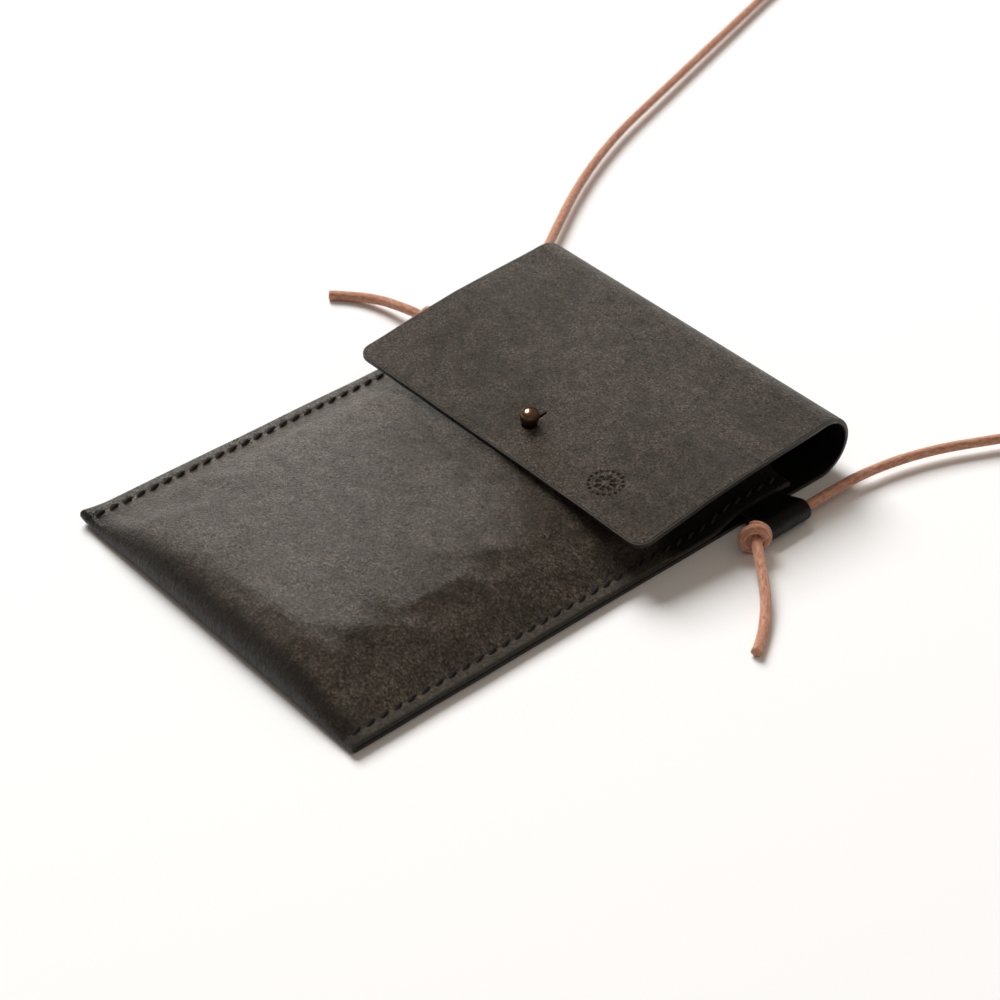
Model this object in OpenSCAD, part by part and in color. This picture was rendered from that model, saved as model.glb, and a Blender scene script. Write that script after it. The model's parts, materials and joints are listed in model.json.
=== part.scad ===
// Neck pouch wallet. One folded sheet of leather is saddle stitched up both sides, closes
// with a flap over a ball stud, and hangs on a leather cord held by two side loops.
// X runs across the pouch, Y from the bottom fold to the flap fold, Z out of the front.
// Lengths along Y are counted from the bottom fold; the origin is the middle of the back face.

/* [Leather sheet] */
// Width of the pouch
pouch_w = 106; // [100:1:120]
// Thickness of the leather
leather_t = 1.5; // [1.3:0.1:1.7]
// Bottom fold to the mouth edge of the front panel
mouth_y = 140; // [139:1:145]
// Height of the front panel over its middle
belly_h = 10.3; // [9.8:0.1:10.3]
// Height of the bottom fold
bottom_fold_h = 6; // [4.8:0.1:6.6]
// Distance over which the front panel rises from the bottom fold
belly_rise = 26; // [24:1:45]
// Width of the flat sewn margin on each side
seam_w = 4.5; // [4:0.1:6]

/* [Flap] */
// Bottom fold to the outside of the flap fold
closed_l = 160.5; // [159:0.5:165]
// Outside height of the flap fold
flap_fold_h = 17.8; // [17.4:0.1:18.4]
// Bottom fold to the free edge of the closed flap
flap_edge_y = 87; // [80:1:92]
// Slope of the closed flap down to its free edge, in degrees
flap_slope = 5; // [4.8:0.1:5.4]
// Radius of the two free corners of the flap
flap_corner_r = 4; // [2:0.5:10]

/* [Ball stud] */
// Bottom fold to the stud
stud_y = 99; // [96:1:104]
// Distance of the stud to the right of the middle
stud_x = 1; // [-2:0.5:2]
// Diameter of the ball
ball_d = 5.1; // [4.8:0.1:5.4]
// Diameter of the neck under the ball
stud_neck_d = 3.2; // [3:0.1:3.6]
// Diameter of the stud's base and of the screw's head
stud_base_d = 6.5; // [6:0.1:8]
// Diameter of the screw
screw_d = 2; // [1.6:0.1:2.2]

/* [Side stitching] */
// Distance of the stitch line from the edge
stitch_inset = 3.2; // [3:0.1:3.4]
// Distance from one stitch hole to the next
stitch_pitch = 4; // [3.4:0.2:5]
// Diameter of the waxed thread
thread_d = 0.8; // [0.6:0.1:1]

/* [Cord loops] */
// Bottom fold to the lower end of each loop
loop_y = 122.5; // [121:0.5:123]
// Length of each loop along the cord
loop_l = 14; // [12:0.5:14.5]
// Thickness of the loop's leather strip
strip_t = 1.2; // [1.1:0.05:1.2]
// Distance of the cord's axis from the side of the pouch
loop_out = 7.5; // [7:0.1:8.5]

/* [Cord] */
// Diameter of the cord
cord_d = 2.5; // [2.2:0.1:2.6]
// Diameter of each stopper knot
knot_d = 8.6; // [8:0.1:9]
// Thickness of each stopper knot
knot_l = 4.5; // [4:0.1:5]
// Length of the left free tail past its knot
left_tail_l = 27; // [25:1:45]
// Length of the right free tail past its knot
right_tail_l = 33; // [25:1:45]
// Straight cord past each loop before the strap can bend upwards
strap_hinge_out = 7; // [6.5:0.5:8]

/* [Hidden] */
$fn = 48;
eps = 0.01;
overlap = 1;        // how far fused solids reach into each other, and cuts past a face
fold_gap = 0.03;    // clearance on each side of a flap hinge line
slide_gap = 0.05;   // clearance of a part that sits in a slot
half_w = pouch_w / 2;
mid_y = 80;         // the origin, counted from the bottom fold

// Sewn margin
seam_h = 2 * leather_t;
belly_half_w = half_w - seam_w;
stitch_x = half_w - stitch_inset;
first_stitch_y = 2;
stitches = floor((mouth_y - 2 - first_stitch_y) / stitch_pitch);

// Loop tails are sewn between the two layers, so the margin is thicker there
tail_t = 2 * strip_t;
loop_tail_w = seam_w + 0.3;                    // how far the loop's tails reach in
pad_margin = 1;
pad_in = 1.5;                                  // reach of the thicker margin past the seam
pad_h = seam_h + tail_t + 2 * slide_gap;
loop_z = leather_t + slide_gap + tail_t / 2;   // middle of the sewn-in tails
bore_r = cord_d / 2 + 0.45;
loop_r = bore_r + strip_t;
cord_z = loop_r + slide_gap;                   // height of the cord in the loops
loop_end_y = loop_y + loop_l;
cord_x = half_w + loop_out;
cord_r = cord_d / 2;

// Flap fold: straight strips that bend on lines in the middle of the leather's thickness
bends = 6;
bend_angle = (180 + flap_slope) / bends;
fold_r = (flap_fold_h - leather_t) / 2;
strip_l = 2 * fold_r * tan(bend_angle / 2);
first_bend_y = closed_l - flap_fold_h / 2 + strip_l / 2;
bend_trim = leather_t / 2 * tan(bend_angle / 2);

// Middle of the leather at bend number k, as [y, z], with bend 0 at the end of the back panel
function bend_point(k) =
    k == 0
        ? [first_bend_y, leather_t / 2]
        : bend_point(k - 1) + strip_l * [cos(k * bend_angle), sin(k * bend_angle)];
last_bend = bend_point(bends - 1);
flap_l = (last_bend[0] - flap_edge_y) / cos(flap_slope);

// Ball stud
base_t = 1;
flap_top_z = last_bend[1] - (last_bend[0] - stud_y) * tan(flap_slope) + leather_t / 2;
ball_lift = 0.47;           // height of the ball's middle over the flap, in diameters
ball_z = flap_top_z + ball_lift * ball_d;
buttonhole_r = ball_d / 2 + 0.45;   // the hole's lips give this much as the ball passes
slit_w = 0.8;
slit_l = 5.7;
screw_gap = 0.05;
bore_stop = 0.8;            // the bore ends this far under the ball's middle
screw_stop = 1.1;           // and the screw this far
slot_d = 0.5;

// Front panel heights, across the pouch and along it
belly_flat = 3.6;   // a higher power keeps more of the middle flat
belly_steep = 0.45; // a lower power rises more steeply from the seams
function belly_x(x) =
    seam_h + (belly_h - seam_h)
        * pow(max(0, 1 - pow(abs(x) / belly_half_w, belly_flat)), belly_steep);
function belly_y(y) =
    bottom_fold_h
        + (belly_h - bottom_fold_h) * sin(90 * min(1, (y - bottom_fold_h / 2) / belly_rise));

// Strap: two strands that spread and close in a half circle behind the neck
strap_y = loop_end_y + strap_hinge_out;
left_lead = 1;          // straight lengths and curves of the left strand, from its hinge
left_curve_l = 24;
left_out_turn = -33;
left_straight = 21;
left_back_l = 61;
left_back_turn = 14;
left_far = 90;
right_lead = 5;
right_curve_l = 40;
right_turn = 26;
middle_from = 118;      // distance from the strap's hinge to the line where it bends again
left_turn = left_out_turn + left_back_turn;

// End of a path of [length, turn] steps that starts at p with a heading from +Y towards +X
function step_end(p, heading, step) =
    step[1] == 0
        ? p + step[0] * [sin(heading), cos(heading)]
        : let (r = step[0] / (step[1] * PI / 180), h = heading + step[1])
            p + r * [cos(heading) - cos(h), sin(h) - sin(heading)];
function path_end(p, heading, steps, i = 0) =
    i == len(steps)
        ? p
        : path_end(step_end(p, heading, steps[i]), heading + steps[i][1], steps, i + 1);

left_steps = [
    [left_lead, 0],
    [left_curve_l, left_out_turn],
    [left_straight, 0],
    [left_back_l, left_back_turn]
];
right_steps = [[right_lead, 0], [right_curve_l, right_turn]];
left_knee = path_end([-cord_x, 0], 0, left_steps);
right_knee = path_end([cord_x, 0], 0, right_steps);
left_top = left_knee + left_far * [sin(left_turn), cos(left_turn)];
// The radius at which both strands run into one half circle
neck_r = (right_knee[0] - left_top[0] + tan(right_turn) * (left_top[1] - right_knee[1]))
    / (cos(right_turn) + cos(left_turn) + tan(right_turn) * (sin(left_turn) + sin(right_turn)));
right_far = (left_top[1] - right_knee[1] - neck_r * (sin(left_turn) + sin(right_turn)))
    / cos(right_turn);
neck_y = left_top[1] - neck_r * sin(left_turn);
neck_x = left_top[0] + neck_r * cos(left_turn);
left_lower_far = (middle_from - left_knee[1]) / cos(left_turn);
right_lower_far = (middle_from - right_knee[1]) / cos(right_turn);
strap_sink = asin((cord_z - cord_r) / (neck_y + neck_r));

// Knots and tails
knot_z = knot_d / 2;
knot_out = 1.5;     // the knot's middle stands this far outside the straight run
knot_drop = 4.8;    // and this far below the loop
knot_round = 0.8;
knot_x = cord_x + knot_out;
knot_y = loop_y - knot_drop;
run_start = 2.2;    // the straight run starts this far above the knot's middle, inside it
stub_l = 1.5;
hinge_gap = 1.3 * cord_r;   // from a cord hinge to the flat end that faces it
joint_grow = 0.02;  // a cord's ball ends stand this far proud, so that lengths fuse
arc_fn = 360;
right_tail_heading = 128;
left_tail_heading = -98;
right_tail_turn = 24;
left_tail_turn = -42;
tail_straight = 0.3;        // part of each tail that is straight, from its knot

// Puts a part that is laid out from the bottom fold into the pouch's own frame
module framed() {
    translate([0, -mid_y, 0])
        children();
}

// Outline across the pouch, raised from the seams by the belly curve and lowered by drop
module across_outline(drop, floor_z, end_x) {
    n = 24;
    // Points sit closer together towards the seams, where the curve turns fastest
    xs = [for (i = [n:-1:-n]) belly_half_w * sin(90 * i / n)];
    polygon(concat(
        [[-end_x, floor_z], [end_x, floor_z]],
        [for (x = xs) [x, max(floor_z, belly_x(x) - drop)]]
    ));
}

// Outline along the pouch: round bottom fold, rising front, open at the mouth
module along_outline(inset, end_y) {
    r = bottom_fold_h / 2;
    n = 16;
    translate([r, r])
        circle(r = r - inset);
    polygon(concat(
        [[r, inset], [end_y, inset], [end_y, belly_h - inset]],
        [for (i = [n:-1:0]) [r + belly_rise * i / n, belly_y(r + belly_rise * i / n) - inset]]
    ));
}

// Solid whose outline is given both across and along the pouch
module pillow(inset, end_y) {
    intersection() {
        translate([0, end_y, 0])
            rotate([90, 0, 0])
                linear_extrude(end_y)
                    union() {
                        across_outline(inset, inset, belly_half_w);
                        if (inset == 0)
                            translate([-half_w, 0])
                                square([pouch_w, seam_h]);
                    }
        translate([-half_w, 0, 0])
            rotate([90, 0, 90])
                linear_extrude(pouch_w)
                    along_outline(inset, end_y);
    }
}

// A strip of the sheet, along +Y from one hinge line; bevelled ends clear the next strip
module sheet_profile(l, start_bevel, end_bevel) {
    top = leather_t / 2;
    polygon([
        [fold_gap, -top],
        [l - fold_gap, -top],
        [l - fold_gap, 0],
        [l - fold_gap - end_bevel, top],
        [fold_gap + start_bevel, top],
        [fold_gap, 0]
    ]);
}

module sheet_strip(l, start_bevel, end_bevel) {
    translate([-half_w, 0, 0])
        rotate([90, 0, 90])
            linear_extrude(pouch_w)
                sheet_profile(l, start_bevel, end_bevel);
}

// Places children on the strip that starts at bend number k
module on_fold(k) {
    p = bend_point(k);
    translate([0, p[0], p[1]])
        rotate([(k + 1) * bend_angle, 0, 0])
            children();
}

module loop_pads() {
    pad_w = seam_w + pad_in;
    for (side = [-1, 1])
        translate([side * (half_w - pad_w / 2), loop_y + loop_l / 2, pad_h / 2])
            cube([pad_w, loop_l + 2 * pad_margin, pad_h], center = true);
}

module loop_slots() {
    slot_w = loop_tail_w + 0.1 + overlap;
    for (side = [-1, 1])
        translate([side * (half_w + overlap - slot_w / 2), loop_y + loop_l / 2, loop_z])
            cube([slot_w, loop_l + 2 * slide_gap, tail_t + 2 * slide_gap], center = true);
}

// Front panel, bottom fold and back panel: one sheet, hollow between its layers
module pouch_body() {
    color("#2b2624")
        framed()
            difference() {
                union() {
                    pillow(0, mouth_y);
                    loop_pads();
                    translate([0, mouth_y - overlap, leather_t / 2])
                        sheet_strip(first_bend_y - mouth_y + overlap, 0, bend_trim);
                }
                pillow(leather_t, mouth_y + overlap);
                loop_slots();
                translate([stud_x, stud_y, leather_t + overlap])
                    cylinder(d = screw_d + 4 * screw_gap, h = belly_h);
            }
}

module flap_fold(k) {
    color("#2b2624")
        framed()
            on_fold(k - 1)
                sheet_strip(strip_l, bend_trim, bend_trim);
}

module flap_fold_1() {
    flap_fold(1);
}

module flap_fold_2() {
    flap_fold(2);
}

module flap_fold_3() {
    flap_fold(3);
}

module flap_fold_4() {
    flap_fold(4);
}

module flap_fold_5() {
    flap_fold(5);
}

// Keeps the two free corners of the flap round
module flap_corners() {
    r = flap_corner_r;
    square_w = r + overlap;
    for (side = [-1, 1])
        translate([side * (half_w - r), flap_l - r, 0])
            difference() {
                translate([side > 0 ? 0 : -square_w, 0, -leather_t])
                    cube([square_w, square_w, 2 * leather_t]);
                cylinder(r = r, h = 6 * leather_t, center = true);
            }
}

// Hole with a slit towards the fold, open as wide as the ball needs to pass
module buttonhole() {
    reach = (last_bend[0] - stud_y) / cos(flap_slope);
    translate([stud_x, reach, 0]) {
        cylinder(r = buttonhole_r, h = 4 * leather_t, center = true);
        translate([-slit_w / 2, -slit_l, -leather_t])
            cube([slit_w, slit_l, 2 * leather_t]);
    }
}

module flap_panel() {
    color("#2f2a27")
        framed()
            on_fold(bends - 1)
                difference() {
                    sheet_strip(flap_l, bend_trim, 0);
                    flap_corners();
                    buttonhole();
                }
}

// One row of slanted stitches on both faces, joined through the stitch holes
module side_stitching(side) {
    slant = 16;
    bar_gap = 0.5;      // from the end of one bar to the next
    bar_l = stitch_pitch - bar_gap;
    half_step = bar_l / 2 * sin(slant);
    post = thread_d + 0.1;
    back_z = thread_d / 2;
    function top_z(y) =
        (y > loop_y - pad_margin - thread_d / 2 && y < loop_end_y + pad_margin) ? pad_h : seam_h;
    color("#1c1918")
        framed()
            translate([side * stitch_x, first_stitch_y, 0]) {
                for (i = [0:stitches - 1]) {
                    y = (i + 0.5) * stitch_pitch;
                    translate([0, y, top_z(first_stitch_y + y)])
                        rotate([0, 0, side * slant])
                            rotate([90, 0, 0])
                                cylinder(d = thread_d, h = bar_l, center = true);
                    translate([0, y, back_z])
                        rotate([0, 0, side * slant])
                            rotate([90, 0, 0])
                                cylinder(d = thread_d, h = bar_l, center = true);
                }
                for (i = [0:stitches]) {
                    y = i * stitch_pitch;
                    h = top_z(first_stitch_y + y) - back_z;
                    translate([0, y, back_z + h / 2])
                        cube([2 * half_step + bar_gap, post, h], center = true);
                }
            }
}

module left_side_stitching() {
    side_stitching(-1);
}

module right_side_stitching() {
    side_stitching(1);
}

// Leather strip folded round the cord, with both ends sewn into the side seam
module cord_loop(side) {
    inner_x = half_w - loop_tail_w;
    color("#211d1b")
        framed()
            mirror([side < 0 ? 1 : 0, 0, 0])
                difference() {
                    union() {
                        translate([cord_x, loop_end_y, cord_z])
                            rotate([90, 0, 0])
                                cylinder(r = loop_r, h = loop_l);
                        translate([inner_x, loop_y, loop_z - tail_t / 2])
                            cube([cord_x - inner_x, loop_l, tail_t]);
                    }
                    translate([cord_x, loop_end_y + overlap, cord_z])
                        rotate([90, 0, 0])
                            cylinder(r = bore_r, h = loop_l + 2 * overlap);
                }
}

module left_cord_loop() {
    cord_loop(-1);
}

module right_cord_loop() {
    cord_loop(1);
}

// Base, neck and ball, bored from below for the screw
module stud_head() {
    color("#7b5a41")
        framed()
            translate([stud_x, stud_y, 0])
                difference() {
                    union() {
                        translate([0, 0, belly_h])
                            cylinder(d = stud_base_d, h = base_t);
                        translate([0, 0, belly_h])
                            cylinder(d = stud_neck_d, h = ball_z - belly_h);
                        translate([0, 0, ball_z])
                            sphere(d = ball_d);
                    }
                    translate([0, 0, belly_h - eps])
                        cylinder(d = screw_d + 2 * screw_gap, h = ball_z - belly_h - bore_stop);
                }
}

// Slotted flat-head screw that holds the stud from inside the pocket
module stud_screw() {
    head_top = belly_h - leather_t - 2 * eps;
    color("#7b5a41")
        framed()
            translate([stud_x, stud_y, 0])
                difference() {
                    union() {
                        translate([0, 0, head_top - base_t])
                            cylinder(d = stud_base_d, h = base_t);
                        translate([0, 0, head_top - base_t])
                            cylinder(d = screw_d, h = ball_z - screw_stop - head_top + base_t);
                    }
                    translate([0, 0, head_top - base_t])
                        cube([stud_base_d + overlap, slit_w, 2 * slot_d], center = true);
                }
}

// Round end or joint in a cord
module cord_ball(grow = 0) {
    sphere(r = cord_r + grow);
}

// Arc of cord about the local origin, from the +X axis towards +Y
module cord_arc(r, angle) {
    rotate_extrude(angle = angle, $fn = arc_fn)
        translate([r, 0])
            circle(r = cord_r, $fn = 48);
}

// Cord along a path of [length, turn] steps, flat in XY, from the local origin along +Y
module cord_path(steps, i = 0) {
    if (i < len(steps)) {
        step = steps[i];
        turn = step[1];
        if (i > 0)
            cord_ball(joint_grow);
        if (turn == 0) {
            rotate([-90, 0, 0])
                cylinder(r = cord_r, h = step[0]);
            translate([0, step[0], 0])
                cord_path(steps, i + 1);
        } else {
            bend_r = step[0] / (turn * PI / 180);
            translate([bend_r, 0, 0]) {
                rotate([0, 0, turn > 0 ? 180 - turn : 0])
                    cord_arc(abs(bend_r), abs(turn));
                rotate([0, 0, -turn])
                    translate([-bend_r, 0, 0])
                        cord_path(steps, i + 1);
            }
        }
    }
}

// Overhand knot that can't pass the loop, with the start of the tail that leaves it
module knot(side, heading) {
    color("#b98468")
        framed()
            translate([side * knot_x, knot_y, knot_z])
                rotate([90, 0, 180 - heading])
                    union() {
                        cylinder(d = knot_d - 2 * knot_round, h = knot_l, center = true);
                        cylinder(d = knot_d, h = knot_l - 2 * knot_round, center = true);
                        for (end = [-1, 1])
                            translate([0, 0, end * (knot_l / 2 - knot_round)])
                                rotate_extrude()
                                    translate([knot_d / 2 - knot_round, 0])
                                        circle(r = knot_round);
                        cylinder(r = cord_r, h = knot_l / 2 + stub_l);
                    }
}

module left_knot() {
    knot(-1, left_tail_heading);
}

module right_knot() {
    knot(1, right_tail_heading);
}

// Straight cord from the knot through the loop, up to the strap's hinge
module cord_run(side) {
    start_y = knot_y + run_start;
    color("#b98468")
        framed()
            translate([side * cord_x, start_y, cord_z])
                rotate([-90, 0, 0])
                    cylinder(r = cord_r, h = strap_y - hinge_gap - start_y);
}

module left_cord_run() {
    cord_run(-1);
}

module right_cord_run() {
    cord_run(1);
}

// Free end past the knot, ball-ended so that it can swing
module tail(side, heading, turn, length) {
    reach = knot_l / 2 + stub_l + hinge_gap;
    sink = asin((knot_z - cord_r) / (length + 2 * cord_r));
    color("#b98468")
        framed()
            translate([side * knot_x + reach * sin(heading), knot_y + reach * cos(heading), knot_z])
                rotate([0, 0, -heading])
                    rotate([-sink, 0, 0]) {
                        cord_ball(joint_grow);
                        cord_path([
                            [tail_straight * length, 0],
                            [(1 - tail_straight) * length, turn]
                        ]);
                    }
}

module left_tail() {
    tail(-1, left_tail_heading, left_tail_turn, left_tail_l);
}

module right_tail() {
    tail(1, right_tail_heading, right_tail_turn, right_tail_l);
}

// The strap's plane sinks from the height of the loops to the resting plane
module on_strap() {
    translate([0, strap_y, cord_z])
        rotate([-strap_sink, 0, 0])
            children();
}

// Part of a strand from a point with a heading, ball-ended at its start
module strand(p, heading, steps) {
    color("#b98468")
        framed()
            on_strap()
                translate([p[0], p[1], 0])
                    rotate([0, 0, -heading]) {
                        cord_ball(joint_grow);
                        cord_path(steps);
                    }
}

module left_lower_strap() {
    strand([-cord_x, 0], 0, concat(left_steps, [[left_lower_far - hinge_gap, 0]]));
}

module right_lower_strap() {
    strand([cord_x, 0], 0, concat(right_steps, [[right_lower_far - hinge_gap, 0]]));
}

module left_middle_strap() {
    p = left_knee + left_lower_far * [sin(left_turn), cos(left_turn)];
    arc_l = neck_r * abs(left_turn) * PI / 180;
    cut = hinge_gap / arc_l;
    strand(p, left_turn, [
        [left_far - left_lower_far, 0],
        [arc_l * (1 - cut), -left_turn * (1 - cut)]
    ]);
}

module right_middle_strap() {
    p = right_knee + right_lower_far * [sin(right_turn), cos(right_turn)];
    arc_l = neck_r * right_turn * PI / 180;
    cut = hinge_gap / arc_l;
    strand(p, right_turn, [
        [right_far - right_lower_far, 0],
        [arc_l * (1 - cut), -right_turn * (1 - cut)]
    ]);
}

// Half circle behind the neck
module neck_strap() {
    color("#b98468")
        framed()
            on_strap()
                translate([neck_x, neck_y, 0]) {
                    cord_arc(neck_r, 180);
                    for (side = [-1, 1])
                        translate([side * neck_r, 0, 0])
                            cord_ball(joint_grow);
                }
}

pouch_body();
flap_fold_1();
flap_fold_2();
flap_fold_3();
flap_fold_4();
flap_fold_5();
flap_panel();
left_side_stitching();
right_side_stitching();
left_cord_loop();
right_cord_loop();
stud_head();
stud_screw();
left_knot();
right_knot();
left_cord_run();
right_cord_run();
left_tail();
right_tail();
left_lower_strap();
right_lower_strap();
left_middle_strap();
right_middle_strap();
neck_strap();
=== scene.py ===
import json
import math

import bpy
import numpy as np
from mathutils import Matrix, Vector, noise
from mathutils.geometry import delaunay_2d_cdt


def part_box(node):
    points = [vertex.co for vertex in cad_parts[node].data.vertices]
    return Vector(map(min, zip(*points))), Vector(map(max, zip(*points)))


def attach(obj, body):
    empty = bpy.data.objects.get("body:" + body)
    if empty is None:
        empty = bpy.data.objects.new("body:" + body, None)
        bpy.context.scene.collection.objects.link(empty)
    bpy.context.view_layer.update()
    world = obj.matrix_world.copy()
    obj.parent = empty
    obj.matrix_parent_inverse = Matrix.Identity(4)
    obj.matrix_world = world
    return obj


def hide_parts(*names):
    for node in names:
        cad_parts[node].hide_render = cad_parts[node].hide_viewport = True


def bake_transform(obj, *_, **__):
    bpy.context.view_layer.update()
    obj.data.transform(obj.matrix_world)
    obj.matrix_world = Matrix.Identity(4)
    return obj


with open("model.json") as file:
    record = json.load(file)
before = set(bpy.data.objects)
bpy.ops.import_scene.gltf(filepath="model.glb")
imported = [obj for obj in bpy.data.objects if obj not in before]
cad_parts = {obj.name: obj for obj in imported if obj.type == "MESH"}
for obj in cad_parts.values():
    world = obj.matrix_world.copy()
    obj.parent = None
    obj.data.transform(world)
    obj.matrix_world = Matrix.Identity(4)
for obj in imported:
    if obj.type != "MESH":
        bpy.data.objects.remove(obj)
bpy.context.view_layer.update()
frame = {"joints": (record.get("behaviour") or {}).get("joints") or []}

MM = 0.001


# ---------------------------------------- places taken from the frame

def box_mm(node):
    """Lowest and highest corner of a CAD node in mm, y from the bottom fold."""
    lo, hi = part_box(node)
    shift = np.array((0, FOLD_END, 0))
    return (np.array(lo) - shift) / MM, (np.array(hi) - shift) / MM


FOLD_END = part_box("pouch_body")[0].y
JOINT = {j["name"]: (np.array(j["pos_m"]) - np.array((0, FOLD_END, 0))) / MM
         for j in frame["joints"] if "pos_m" in j}
HALF_W = box_mm("pouch_body")[1][0]
STUD_LO, STUD_HI = box_mm("stud_head")
SCREW_LO, SCREW_HI = box_mm("stud_screw")
LOOP_LO, LOOP_HI = box_mm("right_cord_loop")
FLAP_LO = box_mm("flap_panel")[0]
KNOT = {side: sum(box_mm(side + "_knot")) / 2 for side in ("left", "right")}

# ---------------------------------------- sizes in mm

LEATHER = 1.5            # thickness of the pouch leather
SHEET = LEATHER - 0.01   # thickness as drawn, so that sewn faces do not coincide
SEAM_H = 2 * LEATHER     # height of the sewn sides
MOUTH_Y = 140.0          # top edge of the front panel
BELLY_H = 10.2           # height of the front panel over the pocket
SEAM_IN = 48.9           # half width at which the front panel leaves the seam
SWELL_RUN = 44.0         # width over which it reaches its full height
SWELL_POWER = 3.8        # how much sooner it rises beside the seam
RISE_RUN = 14.0          # length over which it rises from the bottom fold
NOSE_R = LEATHER         # outer radius of the bottom fold at its corners
EDGE_R = 0.45            # rounding of cut edges on the grain side
FLESH_R = 0.3            # rounding of cut edges on the flesh side
STITCH_X = HALF_W - 3.2  # stitch line
PITCH = 4.0
FIRST_HOLE, LAST_HOLE = 2.0, 138.0
THREAD_R = 0.48
LOOP_LIFT = 2.45         # the sewn-in loop lifts the front leather
STRIP_T = 1.2
LACE_R = 1.25

BEND = math.radians(185 / 6)                     # each of the six flap joints
BEND_Y = JOINT["flap_open"][1]
STRIP_L = float(np.linalg.norm(JOINT["flap_bend_2"] - JOINT["flap_open"]))
FOLD_Y = BEND_Y - STRIP_L / 2                    # back panel ends here, the roll of the flap begins
ROLL_R = STRIP_L / 2 / math.tan(BEND / 2)        # radius of the leather's middle in the roll
FLAP_TURN = 6 * BEND
ROLL_END = (FOLD_Y + ROLL_R * math.sin(FLAP_TURN), LEATHER / 2 + ROLL_R * (1 - math.cos(FLAP_TURN)))
FLAP_L = (ROLL_END[0] - FLAP_LO[1]) / -math.cos(FLAP_TURN)
FLAP_R = 4.0                                     # corner radius of the flap
STUD_X, STUD_Y = (STUD_LO[0] + STUD_HI[0]) / 2, (STUD_LO[1] + STUD_HI[1]) / 2
BALL_R = 2.55


# ---------------------------------------- small helpers

def smooth(t):
    t = np.clip(t, 0, 1)
    return t * t * (3 - 2 * t)


def ramp(t, soft=0.12):
    """0 below 0, t above it, with a soft corner."""
    return 0.5 * (t + np.sqrt(t * t + soft * soft)) - soft / 2


def rolls(x, y, size, seed=0.0):
    """Slow even noise from -1 to 1 over arrays of millimetres."""
    flat = [noise.noise(Vector((a / size + seed, b / size - seed, seed * 1.7)))
            for a, b in zip(np.ravel(x), np.ravel(y))]
    return np.array(flat).reshape(np.shape(x))


def to_frame(points):
    """Millimetres with y from the bottom fold, as metres in the row frame."""
    p = np.asarray(points, float) * MM
    p[..., 1] += FOLD_END
    return p


def frame_point(x, y, z):
    return tuple(to_frame(np.array((x, y, z), float)))


def edge_steps(radius):
    """Distances from an edge at which a rounding of this radius is sampled."""
    return [radius * (1 - math.cos(math.radians(a))) for a in (0, 22, 45, 68, 90)]


def rounding(distance, radius):
    """Depth of a rounded edge below the full surface, at a distance from that edge."""
    d = np.clip(distance, 0, radius)
    return radius - np.sqrt(np.maximum(radius ** 2 - (radius - d) ** 2, 0))


def make_mesh(name, verts, faces, sheet=None, rim=None, sharp=38.0):
    """Mesh object from points in mm. sheet holds leather coordinates (x, run, depth) in mm."""
    mesh = bpy.data.meshes.new(name)
    mesh.from_pydata(to_frame(verts).tolist(), [], [list(map(int, f)) for f in faces])
    mesh.validate()
    for label, kind, field, values in (("sheet", "FLOAT_VECTOR", "vector", sheet),
                                       ("rim", "FLOAT", "value", rim)):
        if values is not None:
            layer = mesh.attributes.new(label, kind, "POINT")
            layer.data.foreach_set(field, np.asarray(values, np.float32).ravel())
    mesh.polygons.foreach_set("use_smooth", [True] * len(mesh.polygons))
    mesh.set_sharp_from_angle(angle=math.radians(sharp))
    mesh.update()
    obj = bpy.data.objects.new(name, mesh)
    bpy.context.scene.collection.objects.link(obj)
    return obj


def grid_normals(grid):
    """Unit normals of a grid of points, as [rows, columns, 3]."""
    down = np.gradient(grid, axis=0)
    across = np.gradient(grid, axis=1)
    n = np.cross(down, across)
    return n / np.maximum(np.linalg.norm(n, axis=2, keepdims=True), 1e-12)


def skin_faces(rows, cols, base, flip):
    faces = []
    for r in range(rows - 1):
        for c in range(cols - 1):
            a = base + r * cols + c
            q = (a, a + cols, a + cols + 1, a + 1)
            faces.append(q[::-1] if flip else q)
    return faces


def sheet_object(name, outer, normals, depth_out, depth_in, coords, rim):
    """Leather with both faces and all four side walls, from a grid of its grain side."""
    rows, cols = outer.shape[:2]
    top = outer - normals * depth_out[..., None]
    low = outer - normals * depth_in[..., None]
    verts = np.concatenate((top.reshape(-1, 3), low.reshape(-1, 3)))
    n = rows * cols
    faces = skin_faces(rows, cols, 0, False) + skin_faces(rows, cols, n, True)
    loop = (list(range(cols)) + [r * cols + cols - 1 for r in range(1, rows)]
            + [(rows - 1) * cols + c for c in range(cols - 2, -1, -1)]
            + [r * cols for r in range(rows - 2, 0, -1)])
    for i, a in enumerate(loop):
        b = loop[(i + 1) % len(loop)]
        faces.append((a, b, b + n, a + n))
    run = np.concatenate([np.dstack((coords, d)).reshape(-1, 3) for d in (depth_out, depth_in)])
    return make_mesh(name, verts, faces, run, np.concatenate((rim.ravel(), rim.ravel())))


def ring_faces(rings, sides):
    """Faces of a closed body made of rings of points, with a cap at both ends."""
    last = (rings - 1) * sides
    faces = []
    for first in range(0, last, sides):
        for k in range(sides):
            a, b = first + k, first + (k + 1) % sides
            faces.append((a, b, b + sides, a + sides))
    return faces + [tuple(range(sides - 1, -1, -1)), tuple(range(last, last + sides))]


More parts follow.
